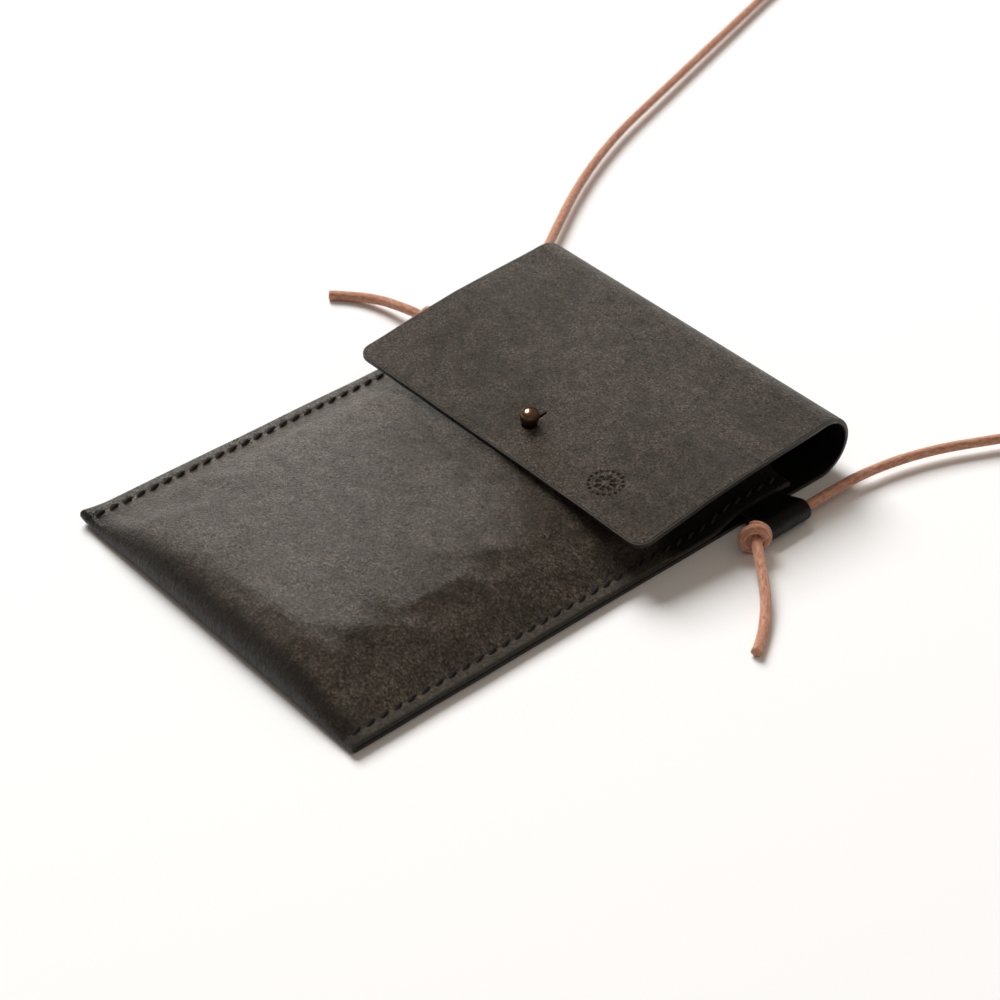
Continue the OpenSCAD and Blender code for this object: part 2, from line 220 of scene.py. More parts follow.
def tube(points, radii, sides, square=2.0, frames=None, twist=0.0):
    """Vertices and faces of a closed tube along points. square above 2 flattens its four sides."""
    points = np.asarray(points, float)
    if frames is None:
        frames = carried_frames(points)
    ang = np.arange(sides) * 2 * math.pi / sides
    c, s = np.cos(ang), np.sin(ang)
    r = (np.abs(c) ** square + np.abs(s) ** square) ** (-1 / square)
    turn = np.arange(len(points)) * twist
    verts = []
    for p, rad, (u, v), t in zip(points, radii, frames, turn):
        cu, su = math.cos(t), math.sin(t)
        uu, vv = u * cu + v * su, v * cu - u * su
        verts.append(p + rad * (np.outer(r * c, uu) + np.outer(r * s, vv)))
    return np.concatenate(verts), ring_faces(len(points), sides)


def carried_frames(points):
    """A pair of unit side vectors at each point, carried along the line without twist."""
    tangent = np.gradient(points, axis=0)
    tangent /= np.maximum(np.linalg.norm(tangent, axis=1, keepdims=True), 1e-12)
    side = np.cross(tangent[0], (0.0, 0.0, 1.0))
    if np.linalg.norm(side) < 1e-3:
        side = np.cross(tangent[0], (0.0, 1.0, 0.0))
    out = []
    for t in tangent:
        side = side - t * (side @ t)
        side /= np.linalg.norm(side)
        out.append((side, np.cross(t, side)))
    return out


def smooth_line(points, spacing):
    """Points evenly spaced along a Catmull-Rom line through the given ones."""
    p = np.asarray(points, float)
    ends = np.vstack((2 * p[0] - p[1], p, 2 * p[-1] - p[-2]))
    fine = []
    for i in range(1, len(ends) - 2):
        a, b, c, d = ends[i - 1:i + 3]
        for t in np.linspace(0, 1, 40, endpoint=False):
            fine.append(0.5 * (2 * b + (c - a) * t + (2 * a - 5 * b + 4 * c - d) * t * t
                               + (3 * b - a - 3 * c + d) * t ** 3))
    fine.append(p[-1])
    return spaced(np.array(fine), spacing)


def spaced(fine, spacing):
    length = np.concatenate(((0,), np.cumsum(np.linalg.norm(np.diff(fine, axis=0), axis=1))))
    count = max(2, int(round(length[-1] / spacing)) + 1)
    at = np.linspace(0, length[-1], count)
    return np.column_stack([np.interp(at, length, fine[:, k]) for k in range(3)])


def lathe(name, profile, centre, sides=72, sharp=38.0):
    """Turned solid from (radius, z) points, closed on its axis at both ends."""
    verts = []
    for r, z in profile:
        for k in range(sides):
            a = 2 * math.pi * k / sides
            verts.append((centre[0] + r * math.cos(a), centre[1] + r * math.sin(a), z))
    return make_mesh(name, verts, ring_faces(len(profile), sides), sharp=sharp)


# ---------------------------------------- materials

class Wire:
    """An output of a node, for use in sums: each operation adds a math node."""

    def __init__(self, nodes, socket):
        self.nodes, self.socket = nodes, socket

    def __add__(self, other):
        return self.nodes.math("ADD", self, other)

    def __sub__(self, other):
        return self.nodes.math("SUBTRACT", self, other)

    def __rsub__(self, other):
        return self.nodes.math("SUBTRACT", other, self)

    def __mul__(self, other):
        return self.nodes.math("MULTIPLY", self, other)

    def __truediv__(self, other):
        return self.nodes.math("DIVIDE", self, other)

    def __abs__(self):
        return self.nodes.math("ABSOLUTE", self)


class Nodes:
    """Short names for building the node tree of a material or a world."""

    def __init__(self, owner):
        owner.use_nodes = True
        self.owner, self.tree = owner, owner.node_tree
        self.tree.nodes.clear()

    def add(self, kind, inputs, **settings):
        node = self.tree.nodes.new(kind)
        for key, value in settings.items():
            setattr(node, key, value)
        for key, value in inputs.items():
            if isinstance(value, Wire):
                self.tree.links.new(value.socket, node.inputs[key])
            else:
                node.inputs[key].default_value = value
        return node

    def get(self, kind, output, inputs=(), **settings):
        """Adds a node and hands back one of its outputs."""
        return Wire(self, self.add(kind, dict(inputs), **settings).outputs[output])

    def parts(self, vector):
        node = self.add("ShaderNodeSeparateXYZ", {0: vector})
        return [Wire(self, socket) for socket in node.outputs]

    def math(self, operation, *values, clamp=False):
        return self.get("ShaderNodeMath", 0, enumerate(values), operation=operation,
                        use_clamp=clamp)

    def vector(self, operation, output, *values):
        return self.get("ShaderNodeVectorMath", output, enumerate(values), operation=operation)

    def scaled(self, vector, factors):
        return self.vector("MULTIPLY", 0, vector, factors)

    def band(self, value, low, high, to_low=0.0, to_high=1.0):
        """A soft step of value from low to high; low may be the greater of the two."""
        inputs = {"Value": value, "From Min": low, "From Max": high,
                  "To Min": to_low, "To Max": to_high}
        return self.get("ShaderNodeMapRange", 0, inputs, interpolation_type="SMOOTHSTEP")

    def noise(self, vector, scale, detail=4.0, rough=0.55, distort=0.0, output="Fac"):
        return self.get("ShaderNodeTexNoise", output,
                        {"Vector": vector, "Scale": scale, "Detail": detail,
                         "Roughness": rough, "Distortion": distort})

    def cells(self, vector, scale, feature="F1"):
        return self.get("ShaderNodeTexVoronoi", "Distance", {"Vector": vector, "Scale": scale},
                        feature=feature)

    def mix(self, factor, a, b):
        a, b = (v if isinstance(v, Wire) else (*v, 1) for v in (a, b))
        return self.get("ShaderNodeMix", 2, {0: factor, 6: a, 7: b}, data_type="RGBA")

    def bump(self, height, strength):
        """Normals of a surface of this height in mm."""
        inputs = {"Height": height, "Distance": MM, "Strength": strength}
        return self.get("ShaderNodeBump", 0, inputs)

    def close(self, kind, shader):
        """Joins a shader to the tree's output."""
        self.add(kind, {0: shader})
        return self.owner

    def finish(self, **inputs):
        """The surface shader; keyword names have underscores for spaces."""
        named = {key.replace("_", " "): value for key, value in inputs.items()}
        shader = self.get("ShaderNodeBsdfPrincipled", 0, named)
        return self.close("ShaderNodeOutputMaterial", shader)


def material_nodes(name):
    return Nodes(bpy.data.materials.new(name))


def sheet_place(n):
    """The leather coordinates of a mesh, in mm."""
    return n.get("ShaderNodeAttribute", "Vector", attribute_name="sheet")


def shade(colour, factor):
    return [part * factor for part in colour]


UNDER_FLAP_SHADE = (-94.0, -104.0)     # run over which painted shade darkens the front under the flap
FOLD_SHADE = (6.5, 2.5)           # run over which painted shade darkens the underside of the bottom fold
LOOP_RUN, LOOP_BARE = 121.0, 27.0    # the burnish and painted sheen of the seams are left out beside the sewn-in loops, under the flap
# painted shade colour for the awl holes
HOLE_SHADE = (0.004, 0.004, 0.004)


def leather_colour(n, look, marks, places, seam):
    """Colour of the grain side, layer by layer, with painted shade, a painted sheen and a painted
    edge highlight among the layers, and how burnished and sheened it is.
    """
    dark, light, _, burnish_sheen_colour = look
    across, run, depth, rim = places
    cloudy = n.band(marks["clouds"] * 0.4 + marks["patches"] * 0.6, 0.38, 0.62, 0.40)
    tone = n.mix(cloudy, dark, light)
    layers = [(n.band(marks["grain"], 0.60, 0.42, 0.0, 0.75), 0.75), (marks["spots"] * 0.62, 0.25),
              (marks["cracks"] * 0.5, 0.25), (marks["mottle"] * 0.42, 0.8)]
    # burnished sides: smoother and greyer past the stitch line and along the cut edges; past the
    # stitch line the grey is partly painted reflection
    burnish_and_sheen = n.band(rim, 0.55, 0.25)
    # a light line on the rounding beside the free edges: partly wear, partly a painted highlight
    wear_and_highlight = n.band(rim, 0.34, 0.14) * n.band(depth, 0.35, 0.15)
    if seam:
        # painted shade: the front darkens where the flap lies over it, and the bottom fold darkens
        # round its underside
        layers += [(n.band(run, *UNDER_FLAP_SHADE, 0.0, 0.9), 0.15),
                   (n.band(abs(run), *FOLD_SHADE, 0.0, 0.78), 0.4)]
        # painted reflection: the grey margin past the stitch line, on the front only, is burnish
        # plus a painted reflection of the bright surroundings, stronger on the right side
        margin_burnish_and_sheen = n.band(abs(across), STITCH_X - 0.2, STITCH_X + 0.5) * n.band(run, 4.0, -1.0)
        margin_burnish_and_sheen = margin_burnish_and_sheen * n.band(across, -30.0, 30.0, 0.12, 0.42)
        burnish_and_sheen = n.math("MAXIMUM", burnish_and_sheen, margin_burnish_and_sheen) * n.band(abs(run + LOOP_RUN), 20.0, LOOP_BARE)
        wear_and_highlight = wear_and_highlight * n.band(run, 0.0, 200.0)
    for amount, factor in layers:
        tone = n.mix(amount, tone, shade(dark, factor))
    tone = n.mix(burnish_and_sheen * 0.8, tone, burnish_sheen_colour)
    return n.mix(wear_and_highlight * 0.75, tone, shade(burnish_sheen_colour, 2.6)), burnish_and_sheen


def leather_height(n, sheet, marks, rim, burnish_and_sheen):
    """Height of the grain in mm: pores, cells, faint creases, the bevel line beside an edge."""
    pits = n.band(n.cells(sheet, 1.7), 0.0, 0.35)
    cells = n.cells(n.scaled(sheet, (1.0, 1.15, 1.0)), 1.05, "SMOOTH_F1")
    creases = n.noise(n.scaled(sheet, (0.35, 1.0, 1.0)), 0.22, 6.0, 0.7, 1.2)
    crease_line = n.band(abs(creases - 0.5), 0.0, 0.018)
    bevel = 1.0 - n.band(abs(rim - 1.05), 0.0, 0.22)
    raised = pits * 0.030 + cells * 0.045 + marks["fine"] * 0.13
    raised = raised + marks["grain"] * n.band(burnish_and_sheen, 0.0, 1.0, 0.52, 0.05)
    raised = raised + marks["patches"] * 0.16
    return (raised - marks["mottle"] * 0.07 + crease_line * 0.02 - marks["spots"] * 0.05
            - marks["cracks"] * 0.10 - bevel * 0.05)


def stitch_hole(n, across, run):
    """1 at the awl holes along the stitch line, 0 elsewhere."""
    length = abs(run)
    phase = n.math("FRACT", (length - (FIRST_HOLE - PITCH / 2)) / PITCH)
    near = n.get("ShaderNodeCombineXYZ", 0,
                 {0: (abs(across) - STITCH_X) * 1.4, 1: (phase - 0.5) * PITCH})
    far = n.vector("LENGTH", "Value", near)
    return n.band(far, 0.8, 0.25) * n.band(length, LAST_HOLE + 1.2, LAST_HOLE + 0.8)


def leather_material(name, *look, seam=True, relief=0.9):
    """Waxed leather; look holds its dark and light grain, flesh side and burnished colours, the last
    also painting a sheen on the seam margins and a highlight along the rounded edges.
    """
    n = material_nodes(name)
    dark, _, flesh, _ = look
    sheet = sheet_place(n)
    rim = n.get("ShaderNodeAttribute", "Fac", attribute_name="rim")
    across, run, depth = n.parts(sheet)
    bent = n.vector("ADD", 0, sheet, n.noise(sheet, 0.8, 2.0, 0.5, output="Color"))
    cracked = n.band(n.noise(sheet, 0.5, 4.0, 0.65), 0.42, 0.58, 0.1)
    marks = {"clouds": n.noise(sheet, 0.035, 5.0, 0.6, 0.6),
             "patches": n.noise(sheet, 0.16, 4.0, 0.62, 0.4),
             "fine": n.noise(sheet, 0.95, 4.0, 0.65),
             "grain": n.noise(n.scaled(sheet, (1.0, 1.25, 1.0)), 1.45, 3.0, 0.66, 0.3),
             "spots": n.band(n.noise(sheet, 1.05, 5.0, 0.7, 0.8), 0.55, 0.60),
             "mottle": n.band(n.noise(sheet, 0.8, 6.0, 0.78, 0.4), 0.58, 0.42),
             "cracks": n.band(n.cells(bent, 0.85, "DISTANCE_TO_EDGE"), 0.24, 0.05) * cracked}
    grain_tone, burnish_and_sheen = leather_colour(n, look, marks, (across, run, depth, rim), seam)
    flesh_noise = n.noise(n.scaled(sheet, (1.6, 0.9, 1.0)), 1.1, 5.0, 0.7)
    flesh_tone = n.mix(flesh_noise, flesh, shade(flesh, 1.9))
    on_flesh = n.band(depth, LEATHER * 0.70, LEATHER * 0.97)
    in_edge = n.band(depth, 0.03, 0.3) * n.band(depth, LEATHER - 0.02, LEATHER - 0.25)
    edge_tone = n.mix(n.noise(sheet, 0.6, 3.0), shade(dark, 0.25), shade(dark, 0.5))
    colour = n.mix(in_edge, n.mix(on_flesh, grain_tone, flesh_tone), edge_tone)
    height = leather_height(n, sheet, marks, rim, burnish_and_sheen)
    if seam:
        hole = stitch_hole(n, across, run)
        # painted shade in the awl holes
        colour = n.mix(hole * 0.12, colour, HOLE_SHADE)
        height = height - hole * 0.05
    height = n.mix(on_flesh, height, n.noise(sheet, 3.2, 6.0, 0.75) * 0.10)
    rough = n.band(n.noise(sheet, 0.3, 5.0, 0.6, 0.3), 0.3, 0.7, 0.39, 0.53) + marks["spots"] * 0.10
    rough = n.math("ADD", rough, on_flesh * 0.30, clamp=True) - in_edge * 0.12
    surface = n.bump(height, relief)
    return n.finish(Base_Color=colour, Roughness=rough, Normal=surface, Coat_Normal=surface,
                    Coat_Weight=(1.0 - on_flesh) * (0.22 * relief), Coat_Roughness=0.2,
                    Specular_IOR_Level=0.26 - on_flesh * 0.18)


def lace_material():
    """Natural tan lace: fibrous, matt, paler along raised fibres and darker in its pits."""
    n = material_nodes("tan_lace")
    sheet = sheet_place(n)
    fibres = n.noise(n.scaled(sheet, (2.2, 0.55, 2.2)), 1.0, 6.0, 0.7, 0.4)
    blotch = n.noise(sheet, 0.11, 4.0, 0.6)
    grit = n.noise(sheet, 2.6, 4.0, 0.7)
    tone = n.mix(n.band(fibres, 0.32, 0.68), (0.36, 0.140, 0.078), (0.68, 0.370, 0.250))
    tone = n.mix(n.band(blotch, 0.42, 0.72, 0.0, 0.55), tone, (0.52, 0.225, 0.135))
    tone = n.mix(n.band(grit, 0.60, 0.78, 0.0, 0.6), tone, (0.24, 0.09, 0.045))
    return n.finish(Base_Color=tone, Roughness=n.band(fibres, 0.3, 0.7, 0.62, 0.82),
                    Normal=n.bump(fibres * 0.22 + grit * 0.07, 0.9), Sheen_Weight=0.25,
                    Sheen_Roughness=0.5, Specular_IOR_Level=0.35, Subsurface_Weight=0.04,
                    Subsurface_Scale=MM)


def thread_material():
    """Black waxed thread with the lay of its plies."""
    n = material_nodes("waxed_thread")
    sheet = sheet_place(n)
    around_thread, along, _ = n.parts(sheet)
    lay = n.math("SINE", along * 7.0 + around_thread)
    fuzz = n.noise(sheet, 3.0, 4.0, 0.7)
    return n.finish(Base_Color=n.mix(fuzz, (0.012, 0.0112, 0.0105), (0.036, 0.0335, 0.031)),
                    Roughness=n.band(fuzz, 0.3, 0.7, 0.42, 0.62),
                    Normal=n.bump(lay * 0.05 + fuzz * 0.08, 1.0))


def metal_material():
    """Antique copper brown, brighter on upward faces: partly rubbed where hands touch it, partly
    painted light from above.
    """
    n = material_nodes("antique_stud")
    place = n.get("ShaderNodeTexCoord", "Object")
    stain = n.noise(place, 420.0, 5.0, 0.6)
    scratch = n.noise(n.scaled(place, (300.0, 2600.0, 900.0)), 1.0, 4.0, 0.7)
    up = n.parts(n.get("ShaderNodeNewGeometry", "Normal"))[2]
    # painted light: the colour brightens towards upward faces, partly as rubbed wear
    wear_and_highlight = n.math("ADD", n.band(up, -0.1, 0.85), (stain - 0.5) * 0.9, clamp=True)
    return n.finish(Base_Color=n.mix(wear_and_highlight, (0.085, 0.045, 0.026), (0.50, 0.31, 0.20)), Metallic=1.0,
                    Roughness=n.band(wear_and_highlight, 0.0, 1.0, 0.42, 0.20) + scratch * 0.10,
                    Normal=n.bump(stain * 0.02 + scratch * 0.015, 0.6))


def floor_material():
    n = material_nodes("white_table")
    place = n.get("ShaderNodeTexCoord", "Object")
    tone = n.mix(n.noise(place, 3.0), (0.905, 0.905, 0.90), (0.925, 0.925, 0.92))
    return n.finish(Base_Color=tone, Roughness=0.65, Specular_IOR_Level=0.2,
                    Normal=n.bump(n.noise(place, 900.0, 3.0), 0.02))


POUCH_LEATHER = leather_material("waxed_leather", (0.036, 0.0292, 0.0228), (0.170, 0.1370, 0.1060),
                                 (0.0045, 0.0042, 0.0038), (0.082, 0.080, 0.068))
LOOP_LEATHER = leather_material("loop_leather", (0.0045, 0.0045, 0.0043), (0.0095, 0.009, 0.0085),
                                (0.004, 0.004, 0.004), (0.012, 0.012, 0.011),
                                seam=False, relief=0.3)
LACE = lace_material()
THREAD = thread_material()
METAL = metal_material()


def dress(obj, material, body=None, nodes=()):
    """Gives a piece its material, the body it rides on and the CAD nodes it stands for."""
    obj.data.materials.append(material)
    if body:
        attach(obj, body)
    if nodes:
        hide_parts(*nodes)
    return obj


# ---------------------------------------- shape of the pouch

def swell(x):
    """0 at the seams to 1 over the pocket."""
    s = np.clip(ramp((SEAM_IN - np.abs(x)) / SWELL_RUN, 0.05), 0, 1)
    return 1 - (1 - s) ** SWELL_POWER


def rise(y):
    """0 at the bottom fold to 1 up the front panel."""
    return np.sqrt(1 - (1 - np.clip(y / RISE_RUN, 0, 1)) ** 2)


def loop_lift(x, y):
    """The seam stands higher where a loop's tail is sewn in."""
    ends = smooth((y - LOOP_LO[1] + 11) / 10) * smooth((LOOP_HI[1] + 9 - y) / 8)
    return LOOP_LIFT * ends * smooth((np.abs(x) - 36) / 10)


def corner_hollow(x, y):
    """Soft valleys that run up from the bottom corners."""
    u = np.abs(x)
    along = np.clip((y - 1) / 30, 0, 1)
    middle = 42.5 - 9.0 * along
    valley = np.exp(-((u - middle) / (3.2 + 3.5 * along)) ** 2) * np.sin(math.pi * along) ** 0.7
    return -1.15 * valley


def front_height(x, y):
    """Height of the front panel's grain side above the table, clear of the bottom fold's nose."""
    full = SEAM_H + (BELLY_H - SEAM_H) * swell(x) * rise(y)
    full = full + loop_lift(x, y) * (1 - 0.75 * swell(x))
    loose = swell(x) * smooth(y / 25)
    full = full + loose * (0.28 * rolls(x, y, 24.0, 3.1) + 0.16 * rolls(x, y, 9.0, 7.7))
    return full + corner_hollow(x, y) * smooth((y - 2) / 6)


SETTLE_FRAMES = 30
SETTLE_LIMIT = 0.4       # the leather moves no further than this
FILLING_GAP = 0.45       # what fills the pocket lies this far below the leather


def settle_front():
    """Change in the front panel's height after it has settled as a sheet of leather.

    The panel is held along both seams and the bottom fold and is a little larger than the space
    between them. It sinks under its own weight onto what fills the pocket and wrinkles there.
    """
    scale = 0.01         # metres of the trial for each millimetre, for a steady solver
    xs = np.linspace(-SEAM_IN, SEAM_IN, 49)
    ys = np.linspace(1.5, MOUTH_Y, 69)
    gx, gy = np.meshgrid(xs, ys)
    start = front_height(gx, gy)

    def trial_sheet(name, height):
        mesh = bpy.data.meshes.new(name)
        points = np.dstack((gx, gy, height)).reshape(-1, 3) * scale
        mesh.from_pydata(points.tolist(), [], skin_faces(len(ys), len(xs), 0, True))
        made = bpy.data.objects.new(name, mesh)
        bpy.context.scene.collection.objects.link(made)
        return made

    filling = trial_sheet("filling", start - FILLING_GAP)
    filling.modifiers.new("filling", "COLLISION")
    filling.collision.thickness_outer = 0.001
    sheet = trial_sheet("settle", start)
    held = sheet.vertex_groups.new(name="held")
    edge = (np.abs(gx) > SEAM_IN - 0.1) | (gy < 2.0)
    stud = np.hypot(gx - STUD_X, gy - STUD_Y) < 4.0
    held.add([int(i) for i in np.flatnonzero((edge | stud).ravel())], 1.0, "REPLACE")
    modifier = sheet.modifiers.new("leather", "CLOTH")
    cloth = modifier.settings
    cloth.quality = 6
    cloth.mass = 0.4
    cloth.tension_stiffness = cloth.compression_stiffness = 30.0
    cloth.shear_stiffness = 20.0
    cloth.bending_stiffness = 3.0
    cloth.tension_damping = cloth.compression_damping = cloth.shear_damping = 20.0
    cloth.air_damping = 2.0
    cloth.vertex_group_mass = "held"
    cloth.shrink_min = -0.012
    modifier.collision_settings.distance_min = 0.002
    scene = bpy.context.scene
    scene.frame_start, scene.frame_end = 1, SETTLE_FRAMES
    for frame_number in range(1, SETTLE_FRAMES + 1):
        scene.frame_set(frame_number)
    settled = sheet.evaluated_get(bpy.context.evaluated_depsgraph_get()).to_mesh()
    z = np.array([v.co.z for v in settled.vertices]).reshape(gx.shape) / scale
    bpy.data.objects.remove(sheet)
    bpy.data.objects.remove(filling)
    scene.frame_set(1)
    border = np.minimum(SEAM_IN - np.abs(gx), gy - 1.5)
    change = z - start
    for _ in range(2):   # thick leather has no sharp wrinkles
        wide = np.pad(change, 1, "edge")
        beside = wide[:-2, 1:-1] + wide[2:, 1:-1] + wide[1:-1, :-2] + wide[1:-1, 2:]
        change = (beside + 2 * change) / 6
    change *= smooth(border / 12.0)
    change = SETTLE_LIMIT * np.tanh(change / SETTLE_LIMIT)
    change *= smooth((np.hypot(gx - STUD_X, gy - STUD_Y) - 5.0) / 12.0)

    def settle(x, y):
        """Height change at any place on the panel, in mm."""
        col = np.clip((np.asarray(x) - xs[0]) / (xs[1] - xs[0]), 0, len(xs) - 1.001)
        row = np.clip((np.asarray(y) - ys[0]) / (ys[1] - ys[0]), 0, len(ys) - 1.001)
        c, r = col.astype(int), row.astype(int)
        u, v = col - c, row - r
        near = change[r, c] * (1 - u) + change[r, c + 1] * u
        far = change[r + 1, c] * (1 - u) + change[r + 1, c + 1] * u
        return np.where(np.abs(x) < SEAM_IN, near * (1 - v) + far * v, 0.0)

    return settle


def nose_radius(x):
    return NOSE_R + 0.9 * swell(x)


def curl(x, y):
    """The bottom left corner curls up a little."""
    reach = np.hypot(x + HALF_W, y)
    return 1.25 * np.clip(1 - reach / 9.0, 0, 1) ** 2


def sheet_columns():
    """x of each column, closer at the edges and across the stitch line."""
    half = [HALF_W - e for e in edge_steps(EDGE_R)] + [HALF_W - 0.9, HALF_W - 1.6, STITCH_X + 1.1]
    half += [STITCH_X + d for d in (0.7, 0.45, 0.22, 0.0, -0.22, -0.45, -0.7, -1.1, -1.6, -2.2)]
    inner = np.linspace(STITCH_X - 3.0, 0, 46)
    half = sorted(half + list(inner))
    return np.array([-v for v in half[:0:-1]] + half)


COLUMNS = sheet_columns()
SIDE_DISTANCE = HALF_W - np.abs(COLUMNS)


def groove(x, y):
    """Depth of the channel pressed by the stitches; the leather bulges up between them."""
    d = np.abs(np.abs(x) - STITCH_X)
    beat = 0.5 - 0.5 * np.cos((y - FIRST_HOLE) / PITCH * 2 * math.pi)
    margin_burnish_and_sheen = smooth((y - FIRST_HOLE + 3) / 2.5) * smooth((LAST_HOLE + 2.5 - y) / 2)
    return margin_burnish_and_sheen * np.exp(-(d / 0.66) ** 2) * (0.01 + 0.28 * beat)


def front_rows():
    """Front panel and bottom fold, as (part, value): y on the front, or an angle under the nose."""
    ys = [MOUTH_Y - e for e in edge_steps(EDGE_R)] + [MOUTH_Y - 0.9]
    ys += list(np.arange(MOUTH_Y - 1.8, 12.0, -1.0))
    ys += [RISE_RUN * (1 - math.cos(math.radians(a))) for a in np.arange(84.0, 0.1, -1.5)
           if RISE_RUN * (1 - math.cos(math.radians(a))) < 11.4]
    return [("front", y) for y in ys] + [("nose", a) for a in np.linspace(0, 90, 10)]


def pouch_grid(settle=None):
    """Grain side of the leather from the mouth, down the front, round the fold and up the back."""
    x = COLUMNS
    points, run = [], []
    radius = nose_radius(x)
    for part, value in front_rows():
        if part == "front":
            y = np.full_like(x, value)
            round_up = np.sqrt(1 - (1 - np.clip(value / NOSE_R, 0, 1)) ** 2)
            flat = radius + (SEAM_H - radius) * round_up
            z = front_height(x, y) - SEAM_H + flat
            if settle is not None:
                z = z + settle(x, y)
            run.append(-y)
        else:
            a = math.radians(value)
            y = radius * (1 - math.cos(a))
            z = radius * (1 - math.sin(a))
            run.append(y * 0.2)
        points.append(np.column_stack((x, y, z)))
    back_ys = list(np.arange(4.0, FOLD_Y - 0.5, 1.0)) + [FOLD_Y]
    for value in back_ys:
        y = np.full_like(x, value)
        points.append(np.column_stack((x, y, np.zeros_like(x))))
        run.append(y)
    grid = np.array(points)
    run = np.array(run)
    grid[..., 2] += curl(grid[..., 0], grid[..., 1])
    waver = 0.16 * rolls(grid[..., 1], np.sign(grid[..., 0]) * 40, 19.0, 5.0)
    end = smooth((FOLD_Y - grid[..., 1]) / 12)
    grid[..., 0] += waver * end * np.sign(grid[..., 0]) * smooth((np.abs(grid[..., 0]) - 30) / 20)
    return grid, run


def flesh_rounding(run):
    """The sewn part's inner edges are glued together, so they are not rounded."""
    free = smooth((np.abs(run) - MOUTH_Y) / 3)
    return np.where(run < 0, 0.04, 0.04 + (FLESH_R - 0.04) * free)


def build_pouch(settle=None):
    grid, run = pouch_grid(settle)
    normals = grid_normals(grid)
    side = np.broadcast_to(SIDE_DISTANCE, run.shape)
    mouth = np.where(run < 0, MOUTH_Y + run, 99.0)
    rim = np.minimum(side, mouth)
    depth_out = rounding(rim, EDGE_R)
    y = grid[..., 1]
    on_back = run > 3
    depth_out = depth_out + groove(grid[..., 0], y) * np.where(on_back, 1.35, 1.0)
    inner_r = flesh_rounding(run)
    depth_in = SHEET - np.minimum(rounding(side, 1.0) * inner_r, inner_r)
    depth_in = depth_in - np.where(mouth < 5, rounding(mouth, FLESH_R), 0)
    coords = np.dstack((np.broadcast_to(COLUMNS, run.shape), run))
    obj = sheet_object("pouch_leather", grid, normals, depth_out, depth_in, coords, rim)
    dress(obj, POUCH_LEATHER, "pouch", ["pouch_body"])
    return obj


# ---------------------------------------- roll of the flap

def roll_point(turn):
    """Middle of the leather in the roll, as (y, z), after it has turned this far."""
    return (FOLD_Y + ROLL_R * math.sin(turn), LEATHER / 2 + ROLL_R * (1 - math.cos(turn)))


ROLL_STEPS = 26          # rows of each of the roll's lengths


def build_roll():
    """Six lengths of the roll, each curved round one of the flap's joints."""
    made = []
    for k in range(6):
        turns = np.linspace(k * BEND, (k + 1) * BEND, ROLL_STEPS + 1)
        rows, run = [], []
        normals = []
        for t in turns:
            y, z = roll_point(t)
            out = np.array((0.0, math.sin(t), -math.cos(t)))
            mid = np.column_stack((COLUMNS, np.full_like(COLUMNS, y), np.full_like(COLUMNS, z)))
            rows.append(mid + out * LEATHER / 2)
            normals.append(np.broadcast_to(out, mid.shape))
            run.append(np.full_like(COLUMNS, FOLD_Y + ROLL_R * t))
        grid, run, normals = np.array(rows), np.array(run), np.array(normals)
        rim = np.broadcast_to(SIDE_DISTANCE, run.shape)
        depth_out = rounding(rim, EDGE_R)
        free = flesh_rounding(run)
        depth_in = SHEET - np.minimum(rounding(rim, 1.0) * free, free)
        coords = np.dstack((np.broadcast_to(COLUMNS, run.shape), run))
        obj = sheet_object(f"flap_roll_{k + 1}", grid, normals, depth_out, depth_in, coords, rim)
        dress(obj, POUCH_LEATHER)
        if k:
            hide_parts(f"flap_fold_{k}")
        start, end = roll_point(k * BEND), roll_point((k + 1) * BEND)
        frame_point(0, *start)
        frame_point(0, *end)
        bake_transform(obj)
        made.append(obj)
    return made


# ---------------------------------------- flap

HOLE_R = 1.95
SLIT_HALF = 0.28
SLIT_L = 5.6


def flap_place(x, u, depth):
    """Points of the flap: x across, u down from the roll, depth below the grain side."""
    t = FLAP_TURN
    d = np.array((0.0, math.cos(t), math.sin(t)))
    out = np.array((0.0, math.sin(t), -math.cos(t)))
    base = np.array((0.0, *ROLL_END))
    bow = flap_bow(x, u)
    p = base + np.outer(u, d) + np.outer(LEATHER / 2 + bow - depth, out)
    p[:, 0] = x
    return p


def flap_bow(x, u):
    """How far the flap bows up from a flat sheet; nothing where it meets the roll."""
    start = smooth(u / 16)
    bow = 0.75 * np.sin(np.clip(u / FLAP_L, 0, 1) * math.pi) ** 2
    waves = start * (0.30 * rolls(x, u, 30.0, 1.3) + 0.10 * rolls(x, u, 10.0, 4.2))
    hole = np.hypot(x - STUD_X, u - HOLE_U)
    pull = 0.35 * np.exp(-(hole / 6.0) ** 2)
    corners = 0.35 * smooth((np.hypot(np.abs(x), u * 0.8) - 55) / 20)
    return bow + waves - pull - corners * start


HOLE_U = (ROLL_END[0] - STUD_Y) / -math.cos(FLAP_TURN)


def keyhole(grow):
    """Outline of the buttonhole, grown outwards: a round hole with a slit towards the roll."""
    r, h = HOLE_R + grow, SLIT_HALF + grow
    a0 = math.asin(h / r)
    loop = [(STUD_X + r * math.sin(a), HOLE_U - r * math.cos(a))
            for a in np.linspace(a0, 2 * math.pi - a0, 44)]
    neck = r * math.cos(a0)
    sides = [neck + (SLIT_L - neck) * f for f in np.linspace(0.12, 1, 9)]
    loop += [(STUD_X - h, HOLE_U - v) for v in sides]
    loop += [(STUD_X - h * math.cos(a), HOLE_U - SLIT_L - h * math.sin(a))
             for a in np.linspace(0.4, math.pi - 0.4, 5)]
    loop += [(STUD_X + h, HOLE_U - v) for v in sides[::-1]]
    return loop


